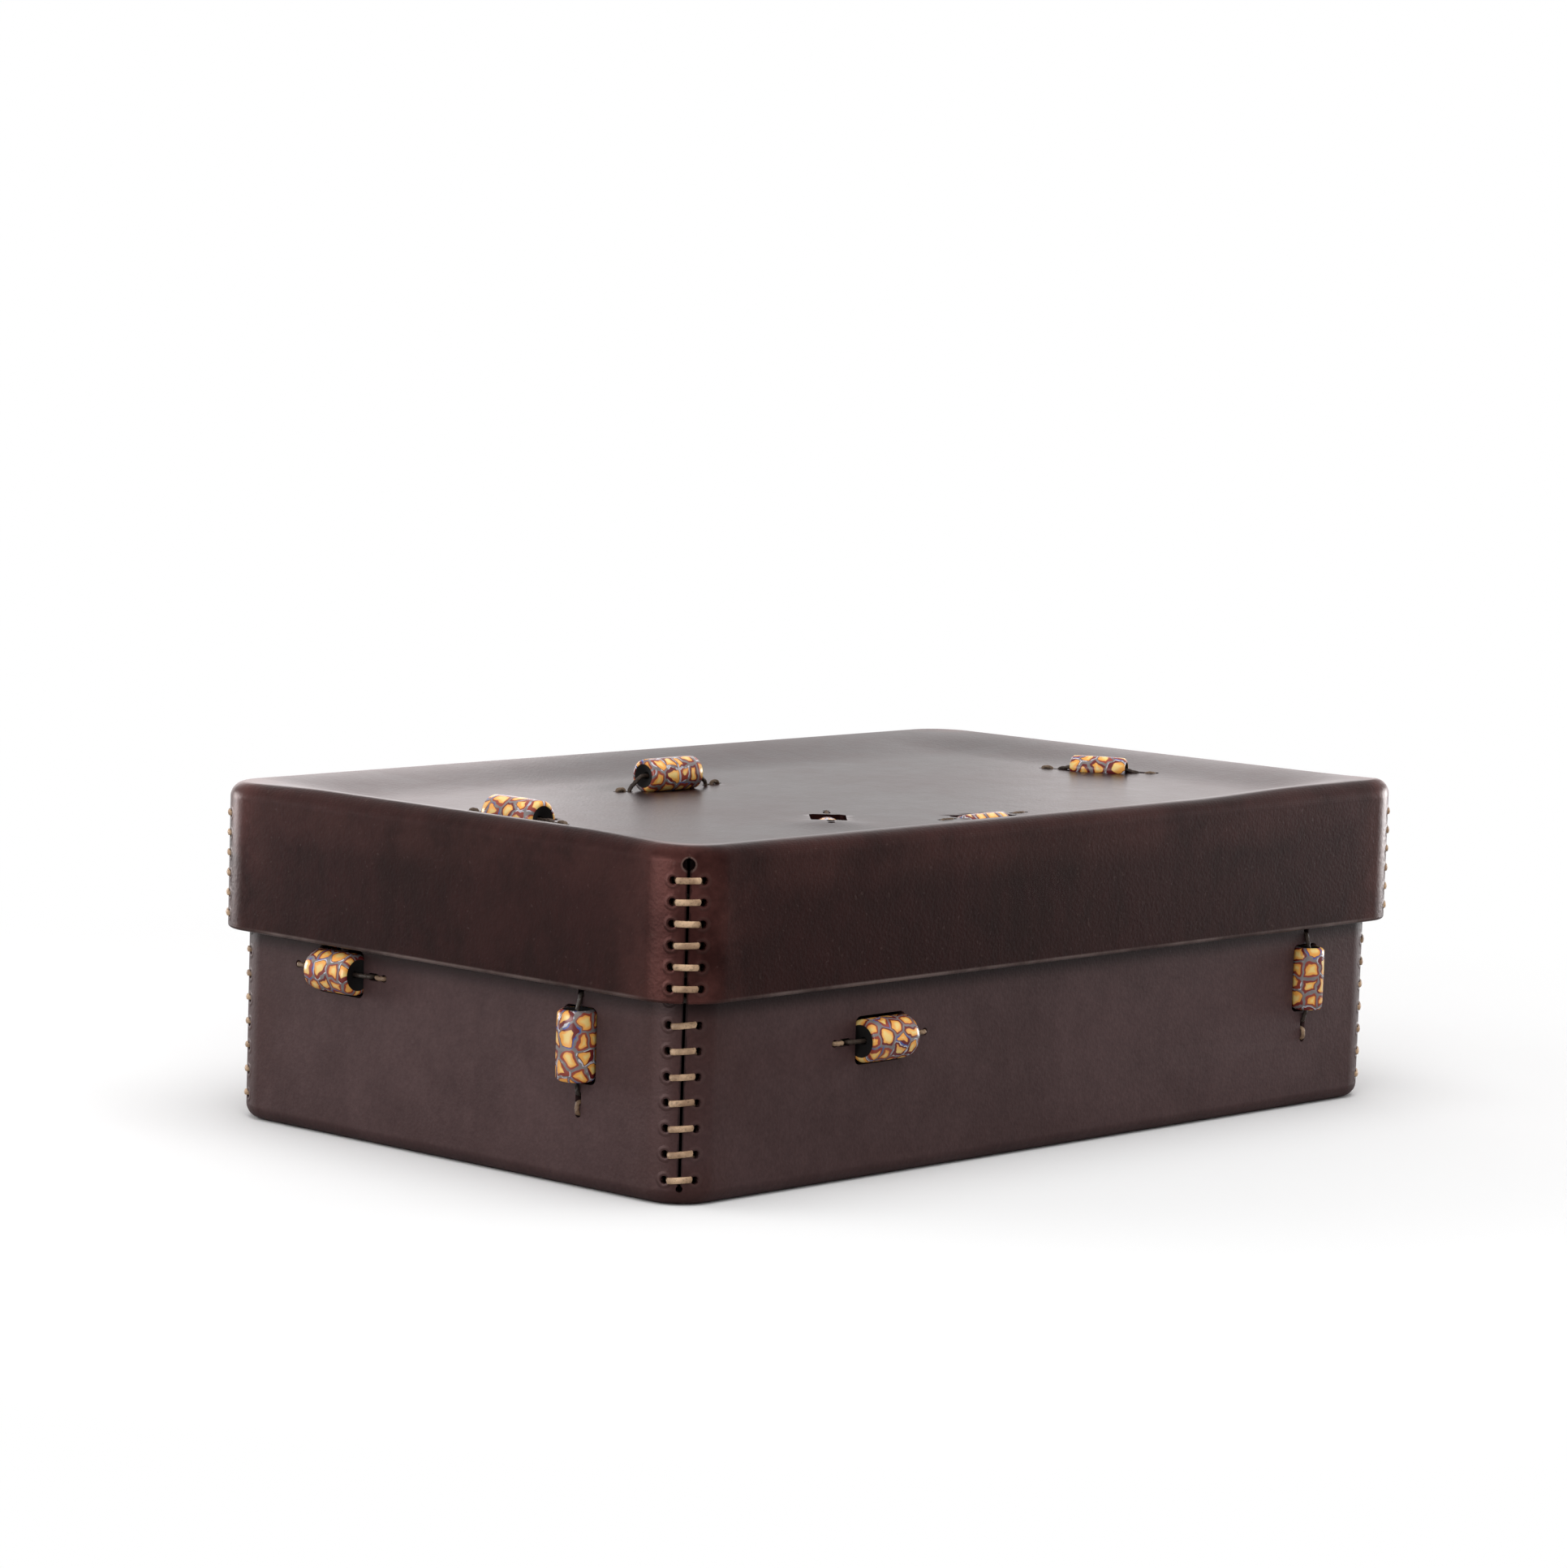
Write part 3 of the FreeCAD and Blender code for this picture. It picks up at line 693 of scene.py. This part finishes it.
def soft_dish(point):
    """How far the soft sag of the lid's top lies above the CAD's straight slopes."""
    x = point.x / MM
    y = point.y / MM
    past_x = max(abs(x) - LID.half_x + DISH_CORNER, 0.0)
    past_y = max(abs(y) - LID.half_y + DISH_CORNER, 0.0)
    inward = DISH_CORNER - math.hypot(past_x, past_y)
    straight = min(max((inward - DISH_START) / DISH_RUN, 0.0), 1.0)
    near_sides = sag(LID.half_x + x, NEAR_SAG) * sag(LID.half_y + y, NEAR_SAG)
    far_sides = sag(LID.half_x - x, FAR_SAG) * sag(LID.half_y - y, FAR_SAG)
    left = crest(LID.half_x + x) * ease((LID.half_y - abs(y)) / LEFT_CREST_FADE)
    right = crest(LID.half_y + y) * ease((x - RIGHT_CREST_START) / RIGHT_CREST_FADE)
    right *= ease((LID.half_x - x) / RIGHT_CREST_END)
    given = sum(
        height * math.exp(-((x - at_x) / reach_x) ** 2 - ((y - at_y) / reach_y) ** 2)
        for at_x, at_y, reach_x, reach_y, height in LEATHER_GIVES
    )
    return (DISH_DEPTH * (straight - near_sides * far_sides) + CREST_SWELL * (left + right) + given) * MM


def corner_normals(mesh, shell):
    """Sets the outward normals of the rounded corners exactly, so that thin faces shade evenly."""
    most_slope = 0.02
    nearness = 0.05 * MM
    least_agreement = 0.9
    normals = [Vector(item.vector) for item in mesh.corner_normals]
    for face in mesh.polygons:
        if abs(face.normal.z) > most_slope:
            continue
        for loop in face.loop_indices:
            spot = mesh.vertices[mesh.loops[loop].vertex_index].co
            outward = Vector((
                math.copysign(max(abs(spot.x) - shell.middle_x * MM, 0.0), spot.x),
                math.copysign(max(abs(spot.y) - shell.middle_y * MM, 0.0), spot.y),
                0.0,
            ))
            on_corner = abs(outward.length - shell.corner * MM) < nearness
            if on_corner and outward.normalized().dot(face.normal) > least_agreement:
                normals[loop] = outward.normalized()
    mesh.normals_split_custom_set(normals)


def soften_lid(work):
    """Divides the lid's leather finely and gives its top the soft sag."""
    for _ in range(MOST_DIVISIONS):
        long_edges = [edge for edge in work.edges if edge.calc_length() > FINE_EDGE * MM]
        if not long_edges:
            break
        bmesh.ops.subdivide_edges(work, edges=long_edges, cuts=1)
        bmesh.ops.triangulate(work, faces=[face for face in work.faces if len(face.verts) > 3])
    for vertex in work.verts:
        if vertex.co.z > (PANEL_UNDERSIDE - PANEL_MARGIN) * MM:
            vertex.co.z += soft_dish(vertex.co)


def dressed_shell(node, body, material, shell, dished):
    """A smooth copy of a leather shell that stands for the CAD node."""
    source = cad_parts[node]
    made = bpy.data.objects.new(node + "_leather", source.data.copy())
    bpy.context.scene.collection.objects.link(made)
    work = bmesh.new()
    work.from_mesh(made.data)
    bmesh.ops.remove_doubles(work, verts=work.verts, dist=1e-6)
    if dished:
        soften_lid(work)
    work.to_mesh(made.data)
    work.free()
    made.data.materials.clear()
    made.data.materials.append(material)
    made.data.polygons.foreach_set("use_smooth", [True] * len(made.data.polygons))
    made.data.set_sharp_from_angle(angle=SHARP_ANGLE)
    weighted = made.modifiers.new("weighted", "WEIGHTED_NORMAL")
    weighted.keep_sharp = True
    settle(made)
    corner_normals(made.data, shell)
    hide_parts(node)
    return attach(made, body)


def rope_tree():
    """A twisted thread along a polyline, as a geometry tree with named inputs."""
    nodes, given, result = open_tree(
        "twisted thread", "GeometryNodeTree",
        [
            ("Geometry", "NodeSocketGeometry", None),
            ("Radius", "NodeSocketFloat", 0.0009),
            ("Lobes", "NodeSocketFloat", 3.0),
            ("Lobe Depth", "NodeSocketFloat", 0.09),
            ("Turns", "NodeSocketFloat", 210.0),
            ("Spacing", "NodeSocketFloat", 0.0003),
            ("Shade", "NodeSocketFloat", 0.0),
            ("Middle Shade", "NodeSocketFloat", 0.0),
            ("Flatness", "NodeSocketFloat", 1.0),
            ("Level", "NodeSocketBool", False),
            ("Dull Above", "NodeSocketFloat", 1.0),
            ("Material", "NodeSocketMaterial", None),
        ],
        [("Geometry", "NodeSocketGeometry")],
    )
    curve = nodes.add("GeometryNodeMeshToCurve", {"Mesh": given["Geometry"]})
    evened = nodes.add("GeometryNodeResampleCurve", {
        "Curve": curve.outputs[0], "Length": given["Spacing"],
    }, mode="LENGTH")
    travel = nodes.add("GeometryNodeSplineParameter").outputs
    # Painted shade on a bead's thread inside and near its bead, and on rungs above a height, under the lid's
    # rim.
    off_middle = nodes.math("ABSOLUTE", nodes.math("SUBTRACT", travel["Factor"], 0.5))
    near_bead_shade = nodes.inverse(nodes.ramp(off_middle, *BEAD_SHADE_SHARE))
    in_middle = nodes.math("MULTIPLY", near_bead_shade, given["Middle Shade"])
    course = nodes.axes(nodes.add("GeometryNodeInputPosition").outputs[0])
    above = nodes.math("GREATER_THAN", course["Z"], given["Dull Above"])
    shade = nodes.math("MAXIMUM", nodes.math("MAXIMUM", given["Shade"], in_middle), above)
    marked = nodes.add("GeometryNodeStoreNamedAttribute", {
        "Geometry": evened.outputs[0], "Name": "thread_shade", "Value": shade,
    }, data_type="FLOAT", domain="POINT")
    level = nodes.add("GeometryNodeSetCurveNormal", {"Curve": marked.outputs[0]}, mode="Z_UP")
    chosen = nodes.add("GeometryNodeSwitch", {
        "Switch": given["Level"], "False": marked.outputs[0], "True": level.outputs[0],
    }, input_type="GEOMETRY")
    turns = nodes.math("MULTIPLY", travel["Length"], given["Turns"])
    twisted = nodes.add("GeometryNodeSetCurveTilt", {
        "Curve": chosen.outputs[0], "Tilt": nodes.math("MULTIPLY", turns, FULL_TURN),
    })

    ring = nodes.add("GeometryNodeCurvePrimitiveCircle", {
        "Resolution": THREAD_SIDES, "Radius": given["Radius"],
    })
    round_ring = nodes.add("GeometryNodeSplineParameter").outputs["Factor"]
    phase = nodes.math("MULTIPLY", nodes.math("MULTIPLY", round_ring, FULL_TURN), given["Lobes"])
    swell = nodes.math("MULTIPLY_ADD", nodes.math("COSINE", phase), given["Lobe Depth"], 1.0)
    lobed = nodes.scaled(nodes.add("GeometryNodeInputPosition").outputs[0], swell)
    thin = nodes.add("ShaderNodeCombineXYZ", {"X": given["Flatness"], "Y": 1.0, "Z": 1.0})
    flat = nodes.vector("MULTIPLY", lobed, thin.outputs[0])
    profile = nodes.add("GeometryNodeSetPosition", {"Geometry": ring.outputs[0], "Position": flat})

    tube = nodes.add("GeometryNodeCurveToMesh", {
        "Curve": twisted.outputs[0], "Profile Curve": profile.outputs[0], "Fill Caps": True,
    })
    smooth = nodes.add("GeometryNodeSetShadeSmooth", {"Geometry": tube.outputs[0]})
    coloured = nodes.add("GeometryNodeSetMaterial", {
        "Geometry": smooth.outputs[0], "Material": given["Material"],
    })
    whole = nodes.add("GeometryNodeRealizeInstances", {"Geometry": coloured.outputs[0]})
    nodes.feed(result["Geometry"], whole.outputs[0])
    return nodes.tree


def rope(name, points, node, body, **shape):
    """One thread through points in millimetres, standing for its CAD node."""
    vertices = [Vector(point) * MM for point in points]
    made = mesh_object(name, vertices, [(n, n + 1) for n in range(len(vertices) - 1)], [])
    modifier = made.modifiers.new("thread", "NODES")
    modifier.node_group = ROPE_TREE
    wanted = {"Material": THREAD}
    wanted.update((label.replace("_", " ").title(), value) for label, value in shape.items())
    for item in ROPE_TREE.interface.items_tree:
        if item.in_out == "INPUT" and item.name in wanted:
            modifier[item.identifier] = wanted[item.name]
    settle(made)
    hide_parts(node)
    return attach(made, body)


def rounded(points, radius, steps=5):
    """A polyline whose inner corners are rounded off."""
    smooth = [points[0]]
    for before, corner, after in zip(points, points[1:], points[2:]):
        back = before - corner
        ahead = after - corner
        first = corner + back.normalized() * min(radius, back.length / 2)
        last = corner + ahead.normalized() * min(radius, ahead.length / 2)
        for step in range(steps + 1):
            share = step / steps
            smooth.append(first.lerp(corner, share).lerp(corner.lerp(last, share), share))
    smooth.append(points[-1])
    return smooth


def lacing_points(shell, sign, slant):
    """The course of one corner's thread: rungs outside, short runs inside."""
    sx, sy = sign
    middle = Vector((sx * shell.middle_x, sy * shell.middle_y, 0))
    facing = math.atan2(sy, sx)
    outside = shell.corner
    inside = outside - LEATHER - INSIDE_GAP
    spread = HOLE_OFFSET / outside
    dive = spread - DIVE_INSET / outside

    def at(radius, angle, z):
        turn = facing + angle
        return middle + Vector((radius * math.cos(turn), radius * math.sin(turn), z))

    course = []
    side = -1
    for number in range(shell.stitches):
        z = shell.first_stitch + shell.pitch * number
        rise = slant + RANDOM.uniform(-RUNG_JITTER, RUNG_JITTER)
        course.append(at(inside, side * spread, z + side * rise))
        course.append(at(outside - DIVE_DEPTH, side * dive, z + side * rise))
        for share in RUNG_SHARES:
            bow = RUNG_HEIGHT + RUNG_BOW * (1 - abs(share))
            course.append(at(outside + bow, side * dive * share, z + side * rise * share))
        side = -side
        course.append(at(outside - DIVE_DEPTH, side * dive, z + side * rise))
        course.append(at(inside, side * spread, z + side * rise))
    return rounded(course, RUNG_BEND)


class BeadPlace:
    """A bead's middle on its leather face, its own line, the way out and how high it stands."""

    def __init__(self, middle, along, outward, length, diameter, lift=0.0, resting=False):
        self.middle = Vector(middle)
        self.along = Vector(along).normalized()
        self.outward = Vector(outward)
        self.across = self.outward.cross(self.along)
        self.length = length
        self.half = length / 2
        self.radius = diameter / 2
        self.resting = resting
        self.rise = (self.radius + BEAD_REST_GAP if resting else BEAD_STAND) + lift
        self.near = self.half + (RESTING_SLOT_DISTANCE if resting else SLOT_DISTANCE)

    def point(self, distance, height, aside=0.0):
        """A point along the bead's line, above its leather face and aside from the line."""
        return self.middle + self.along * distance + self.outward * height + self.across * aside

    def thread_points(self):
        """The thread's course through the bead: into a slot, back out and stitched in again."""
        strung_below = self.outward.z < 0
        under = -LEATHER + CORD_COVER if strung_below else -LEATHER - CORD_HEIGHT
        back = self.near + STRAND_SPACING
        far = self.near + BACK_STITCH
        if self.resting:
            way_down = [(self.half + RESTING_LEAD, self.rise), (self.near, CORD_HEIGHT)]
        else:
            way_down = [
                (self.half + CORD_LEAD, self.rise),
                (self.half + CORD_LANDING, CORD_HEIGHT),
                (self.near, CORD_HEIGHT),
            ]
        half_course = way_down + [
            (self.near, under), (far, under), (far, CORD_HEIGHT), (back, CORD_HEIGHT),
            (back, -LEATHER + CORD_TAIL),
        ]
        course = [self.point(-distance, level) for distance, level in reversed(half_course)]
        course += [self.point(distance, level) for distance, level in half_course]
        return rounded(course, CORD_BEND)

    def profile(self):
        """The bead's rings from its bore round the outside: depth, radius and share of dark."""
        first_end = [(BORE_DEPTH, BORE_RADIUS, 1.0)]
        first_end += [(depth, self.radius - below, dark) for depth, below, dark in END_RINGS]
        girth = [(self.length * share, self.radius, 0.0) for share in GIRTH_RINGS]
        other_end = [(self.length - depth, ring, dark) for depth, ring, dark in reversed(first_end)]
        return first_end + girth + other_end + first_end[:1]

    def bead(self, name, number, node, body):
        """A glass cylinder with soft ends and a bore, its surface laid out in millimetres."""
        profile = self.profile()
        sides = BEAD_SIDES
        vertices = []
        ends = []
        for depth, ring, dark in profile:
            swell = 1.0 + BARREL * (math.sin(math.pi * depth / self.length) - 0.5)
            reach = ring * swell if ring > BORE_RADIUS else ring
            for step in range(sides):
                turn = FULL_TURN * step / sides
                height = self.rise - reach * math.cos(turn)
                vertices.append(self.point(depth - self.half, height, reach * math.sin(turn)) * MM)
                ends.append(dark)
        faces = []
        layout = []
        for row in range(len(profile) - 1):
            for step in range(sides):
                following = (step + 1) % sides
                faces.append((
                    row * sides + step, row * sides + following,
                    (row + 1) * sides + following, (row + 1) * sides + step,
                ))
                for level, place in ((row, step), (row, step + 1), (row + 1, step + 1), (row + 1, step)):
                    layout.append(FULL_TURN * place / sides * self.radius + PATTERN_STEP[0] * number)
                    layout.append(profile[level][0] + PATTERN_STEP[1] * number)
        made = mesh_object(name, vertices, [], faces)
        sheet = made.data.uv_layers.new(name="UVMap")
        sheet.data.foreach_set("uv", layout)
        marks = made.data.attributes.new("bead_end", "FLOAT", "POINT")
        marks.data.foreach_set("value", ends)
        made.data.polygons.foreach_set("use_smooth", [True] * len(faces))
        made.data.materials.append(GLASS)
        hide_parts(node)
        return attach(made, body)


def bead_places():
    """Every bead with its owner, in the CAD nodes' order."""
    half_x = TRAY.half_x
    half_y = TRAY.half_y
    up = (0, 0, 1)
    down = (0, 0, -1)
    slant = math.radians(-63)
    slanted = (math.cos(slant), math.sin(slant), 0)
    lid = [
        BeadPlace((-134, 0, PANEL_TOP), (0, 1, 0), up, 21.0, 11.5, lift=-1.0),
        BeadPlace((-36, 34.5, PANEL_TOP), (1, 0.0175, 0), up, 22.5, 10.4, lift=-1.5, resting=True),
        BeadPlace((122.2, -7.8, PANEL_TOP), slanted, up, 18.5, 8.0, lift=-0.3),
        BeadPlace((-54.8, -50.6, PANEL_UNDERSIDE), (1, 1, 0), down, 18.0, 9.5, lift=0.8),
        BeadPlace((-9.5, -72, PANEL_UNDERSIDE), (1, 0, 0), down, 19.0, 9.5, lift=-0.5),
    ]
    tray = [
        BeadPlace((-half_x, 46.0, 50.0), (0, 1, 0), (-1, 0, 0), 18.2, 12.4),
        BeadPlace((-half_x, -54.6, 41.4), up, (-1, 0, 0), 20.5, 11.7),
        BeadPlace((-78.8, -half_y, 41.0), (1, 0, 0), (0, -1, 0), 19.6, 12.6),
        BeadPlace((121.8, -half_y, 41.6), up, (0, -1, 0), 19.8, 10.2),
        BeadPlace((half_x, -46.0, 50.0), (0, 1, 0), (1, 0, 0), 18.6, 12.0),
        BeadPlace((half_x, 54.6, 41.4), up, (1, 0, 0), 20.0, 11.2),
        BeadPlace((78.8, half_y, 41.0), (1, 0, 0), (0, 1, 0), 19.2, 12.2),
        BeadPlace((-121.8, half_y, 41.6), up, (0, 1, 0), 20.2, 10.8),
    ]
    return [("lid", place) for place in lid] + [("tray", place) for place in tray]


def aim(made, target):
    """Turns a light towards a target."""
    made.rotation_mode = "QUATERNION"
    made.rotation_quaternion = (Vector(target) - made.location).to_track_quat("-Z", "Y")


def area_light(lamp, in_gloss=True, in_diffuse=True, color=(1.0, 1.0, 1.0)):
    """One soft light that the camera does not see."""
    name, place, target, size, power = lamp
    light = bpy.data.lights.new(name, "AREA")
    light.shape = "RECTANGLE"
    light.size, light.size_y = size
    light.energy = power
    light.color = color
    made = bpy.data.objects.new(name, light)
    made.location = place
    made.visible_camera = False
    made.visible_glossy = in_gloss
    made.visible_diffuse = in_diffuse
    bpy.context.scene.collection.objects.link(made)
    aim(made, target)


def seen_rays(nodes):
    """1 for what the camera sees, directly, in a gloss or through glass."""
    path = nodes.add("ShaderNodeLightPath").outputs
    seen = nodes.math("MAXIMUM", path["Is Camera Ray"], path["Is Transmission Ray"])
    return nodes.math("MAXIMUM", seen, path["Is Glossy Ray"])


def floor_material():
    """A pale floor that turns into the white backdrop away from the box."""
    paint, nodes, shader = new_material("floor")
    straight = nodes.add("ShaderNodeLightPath").outputs["Is Camera Ray"]
    nodes.feed(shader.inputs["Base Color"], nodes.mix(straight, grey(0.45), grey(0.94)))
    shader.inputs["Roughness"].default_value = 0.9
    shader.inputs["Specular IOR Level"].default_value = 0.1
    where = nodes.add("ShaderNodeTexCoord").outputs["Object"]
    distance = nodes.add("ShaderNodeVectorMath", {0: where}, operation="LENGTH").outputs["Value"]
    backdrop = nodes.math("MULTIPLY", nodes.ramp(distance, *BACKDROP_FADE), seen_rays(nodes))
    glow = nodes.add("ShaderNodeEmission", {"Color": grey(1.0), "Strength": 1.0})
    blend = nodes.add("ShaderNodeMixShader", {0: backdrop, 1: shader.outputs[0], 2: glow.outputs[0]})
    nodes.feed(paint.node_tree.nodes["Material Output"].inputs["Surface"], blend.outputs[0])
    return paint


def studio():
    """A pale floor, soft light all round, sheens on the wall ends, and a white background."""
    corners = [(-FLOOR_REACH, -FLOOR_REACH, 0), (FLOOR_REACH, -FLOOR_REACH, 0)]
    corners += [(FLOOR_REACH, FLOOR_REACH, 0), (-FLOOR_REACH, FLOOR_REACH, 0)]
    floor = mesh_object("floor", corners, [], [(0, 1, 2, 3)])
    floor.data.materials.append(floor_material())
    for lamp in SOFT_LIGHTS:
        area_light(lamp, in_gloss=False)
    for lamp in BACK_LIGHTS:
        area_light(lamp, color=BACK_TINT)
    for lamp in SHEEN_LIGHTS:
        area_light(lamp, in_diffuse=False)
    world = bpy.data.worlds.new("studio")
    world.use_nodes = True
    bpy.context.scene.world = world
    nodes = Nodes(world.node_tree)
    background = world.node_tree.nodes["Background"]
    strength = nodes.math("MULTIPLY_ADD", seen_rays(nodes), 1.0 - FILL_STRENGTH, FILL_STRENGTH)
    nodes.feed(background.inputs["Strength"], strength)
    background.inputs["Color"].default_value = grey(1.0)


def camera():
    """The photo's viewpoint: a long lens, low, looking at the near corner, turned a little."""
    data = bpy.data.cameras.new("camera")
    data.sensor_fit = "HORIZONTAL"
    data.sensor_width = 36.0
    data.lens = 120.0
    data.clip_end = 50.0
    made = bpy.data.objects.new("camera", data)
    bpy.context.scene.collection.objects.link(made)
    level = math.cos(CAMERA_PITCH)
    ahead = Vector((
        math.sin(CAMERA_AZIMUTH) * level, math.cos(CAMERA_AZIMUTH) * level, -math.sin(CAMERA_PITCH),
    ))
    right = Vector((math.cos(CAMERA_AZIMUTH), -math.sin(CAMERA_AZIMUTH), 0))
    up = right.cross(ahead)
    turned_right = right * math.cos(CAMERA_ROLL) + up * math.sin(CAMERA_ROLL)
    turned_up = up * math.cos(CAMERA_ROLL) - right * math.sin(CAMERA_ROLL)
    turn = Matrix((turned_right, turned_up, -ahead)).transposed()
    made.matrix_world = Matrix.Translation(CAMERA_PLACE) @ turn.to_4x4()
    bpy.context.scene.camera = made


LEATHER_GROUP = leather_group()
CORNER_GROUP = corner_group()
ROPE_TREE = rope_tree()
THREAD = thread_material()
GLASS = bead_material()
LID_LEATHER = leather_material(
    "lid leather", LID, dark=rgb(20, 8, 7), light=rgb(36, 15, 14), burnish=rgb(86, 52, 48),
    tint=(0.9, 0.4, 0.36, 1.0), satin=0.24, streaks=0.3, scuffs=0.14, rim_shadow_share=0.0,
)
TRAY_LEATHER = leather_material(
    "tray leather", TRAY, dark=rgb(64, 46, 46), light=rgb(80, 60, 60), burnish=rgb(68, 46, 44),
    tint=(1.0, 0.75, 0.74, 1.0), satin=0.36, streaks=0.08, scuffs=0.0, rim_shadow_share=0.9,
)
RUNG_THREAD = {
    "radius": LACING_RADIUS * MM, "flatness": 0.55, "lobe_depth": 0.04, "lobes": 6.0,
    "turns": 0.0, "level": True,
}

dressed_shell("lid_shell", "lid", LID_LEATHER, LID, True)
dressed_shell("tray_shell", "tray", TRAY_LEATHER, TRAY, False)
for corner_name, corner_sign in CORNERS.items():
    lid_course = lacing_points(LID, corner_sign, LID_RUNG_SLANT)
    rope("lid_thread_" + corner_name, lid_course, "lid_lacing_" + corner_name, "lid", **RUNG_THREAD)
    tray_course = lacing_points(TRAY, corner_sign, TRAY_RUNG_SLANT)
    # The tray's rungs above the painted shadow band get painted shade.
    rope(
        "tray_thread_" + corner_name, tray_course, "tray_lacing_" + corner_name, "tray",
        dull_above=RIM_SHADOW_FADE[1] * MM, **RUNG_THREAD,
    )
counts = {"lid": 0, "tray": 0}
for total, (owner, place) in enumerate(bead_places(), 1):
    counts[owner] += 1
    label = "%d" % counts[owner]
    place.bead("%s_glass_%s" % (owner, label), total, "%s_bead_%s" % (owner, label), owner)
    rope(
        "%s_bead_cord_%s" % (owner, label), place.thread_points(),
        "%s_bead_thread_%s" % (owner, label), owner,
        radius=CORD_RADIUS * MM, shade=CORD_SHADES[owner], middle_shade=1.0,
    )
studio()
camera()
scene = bpy.context.scene
scene.view_settings.view_transform = "Standard"
scene.view_settings.look = "None"

bpy.context.view_layer.update()
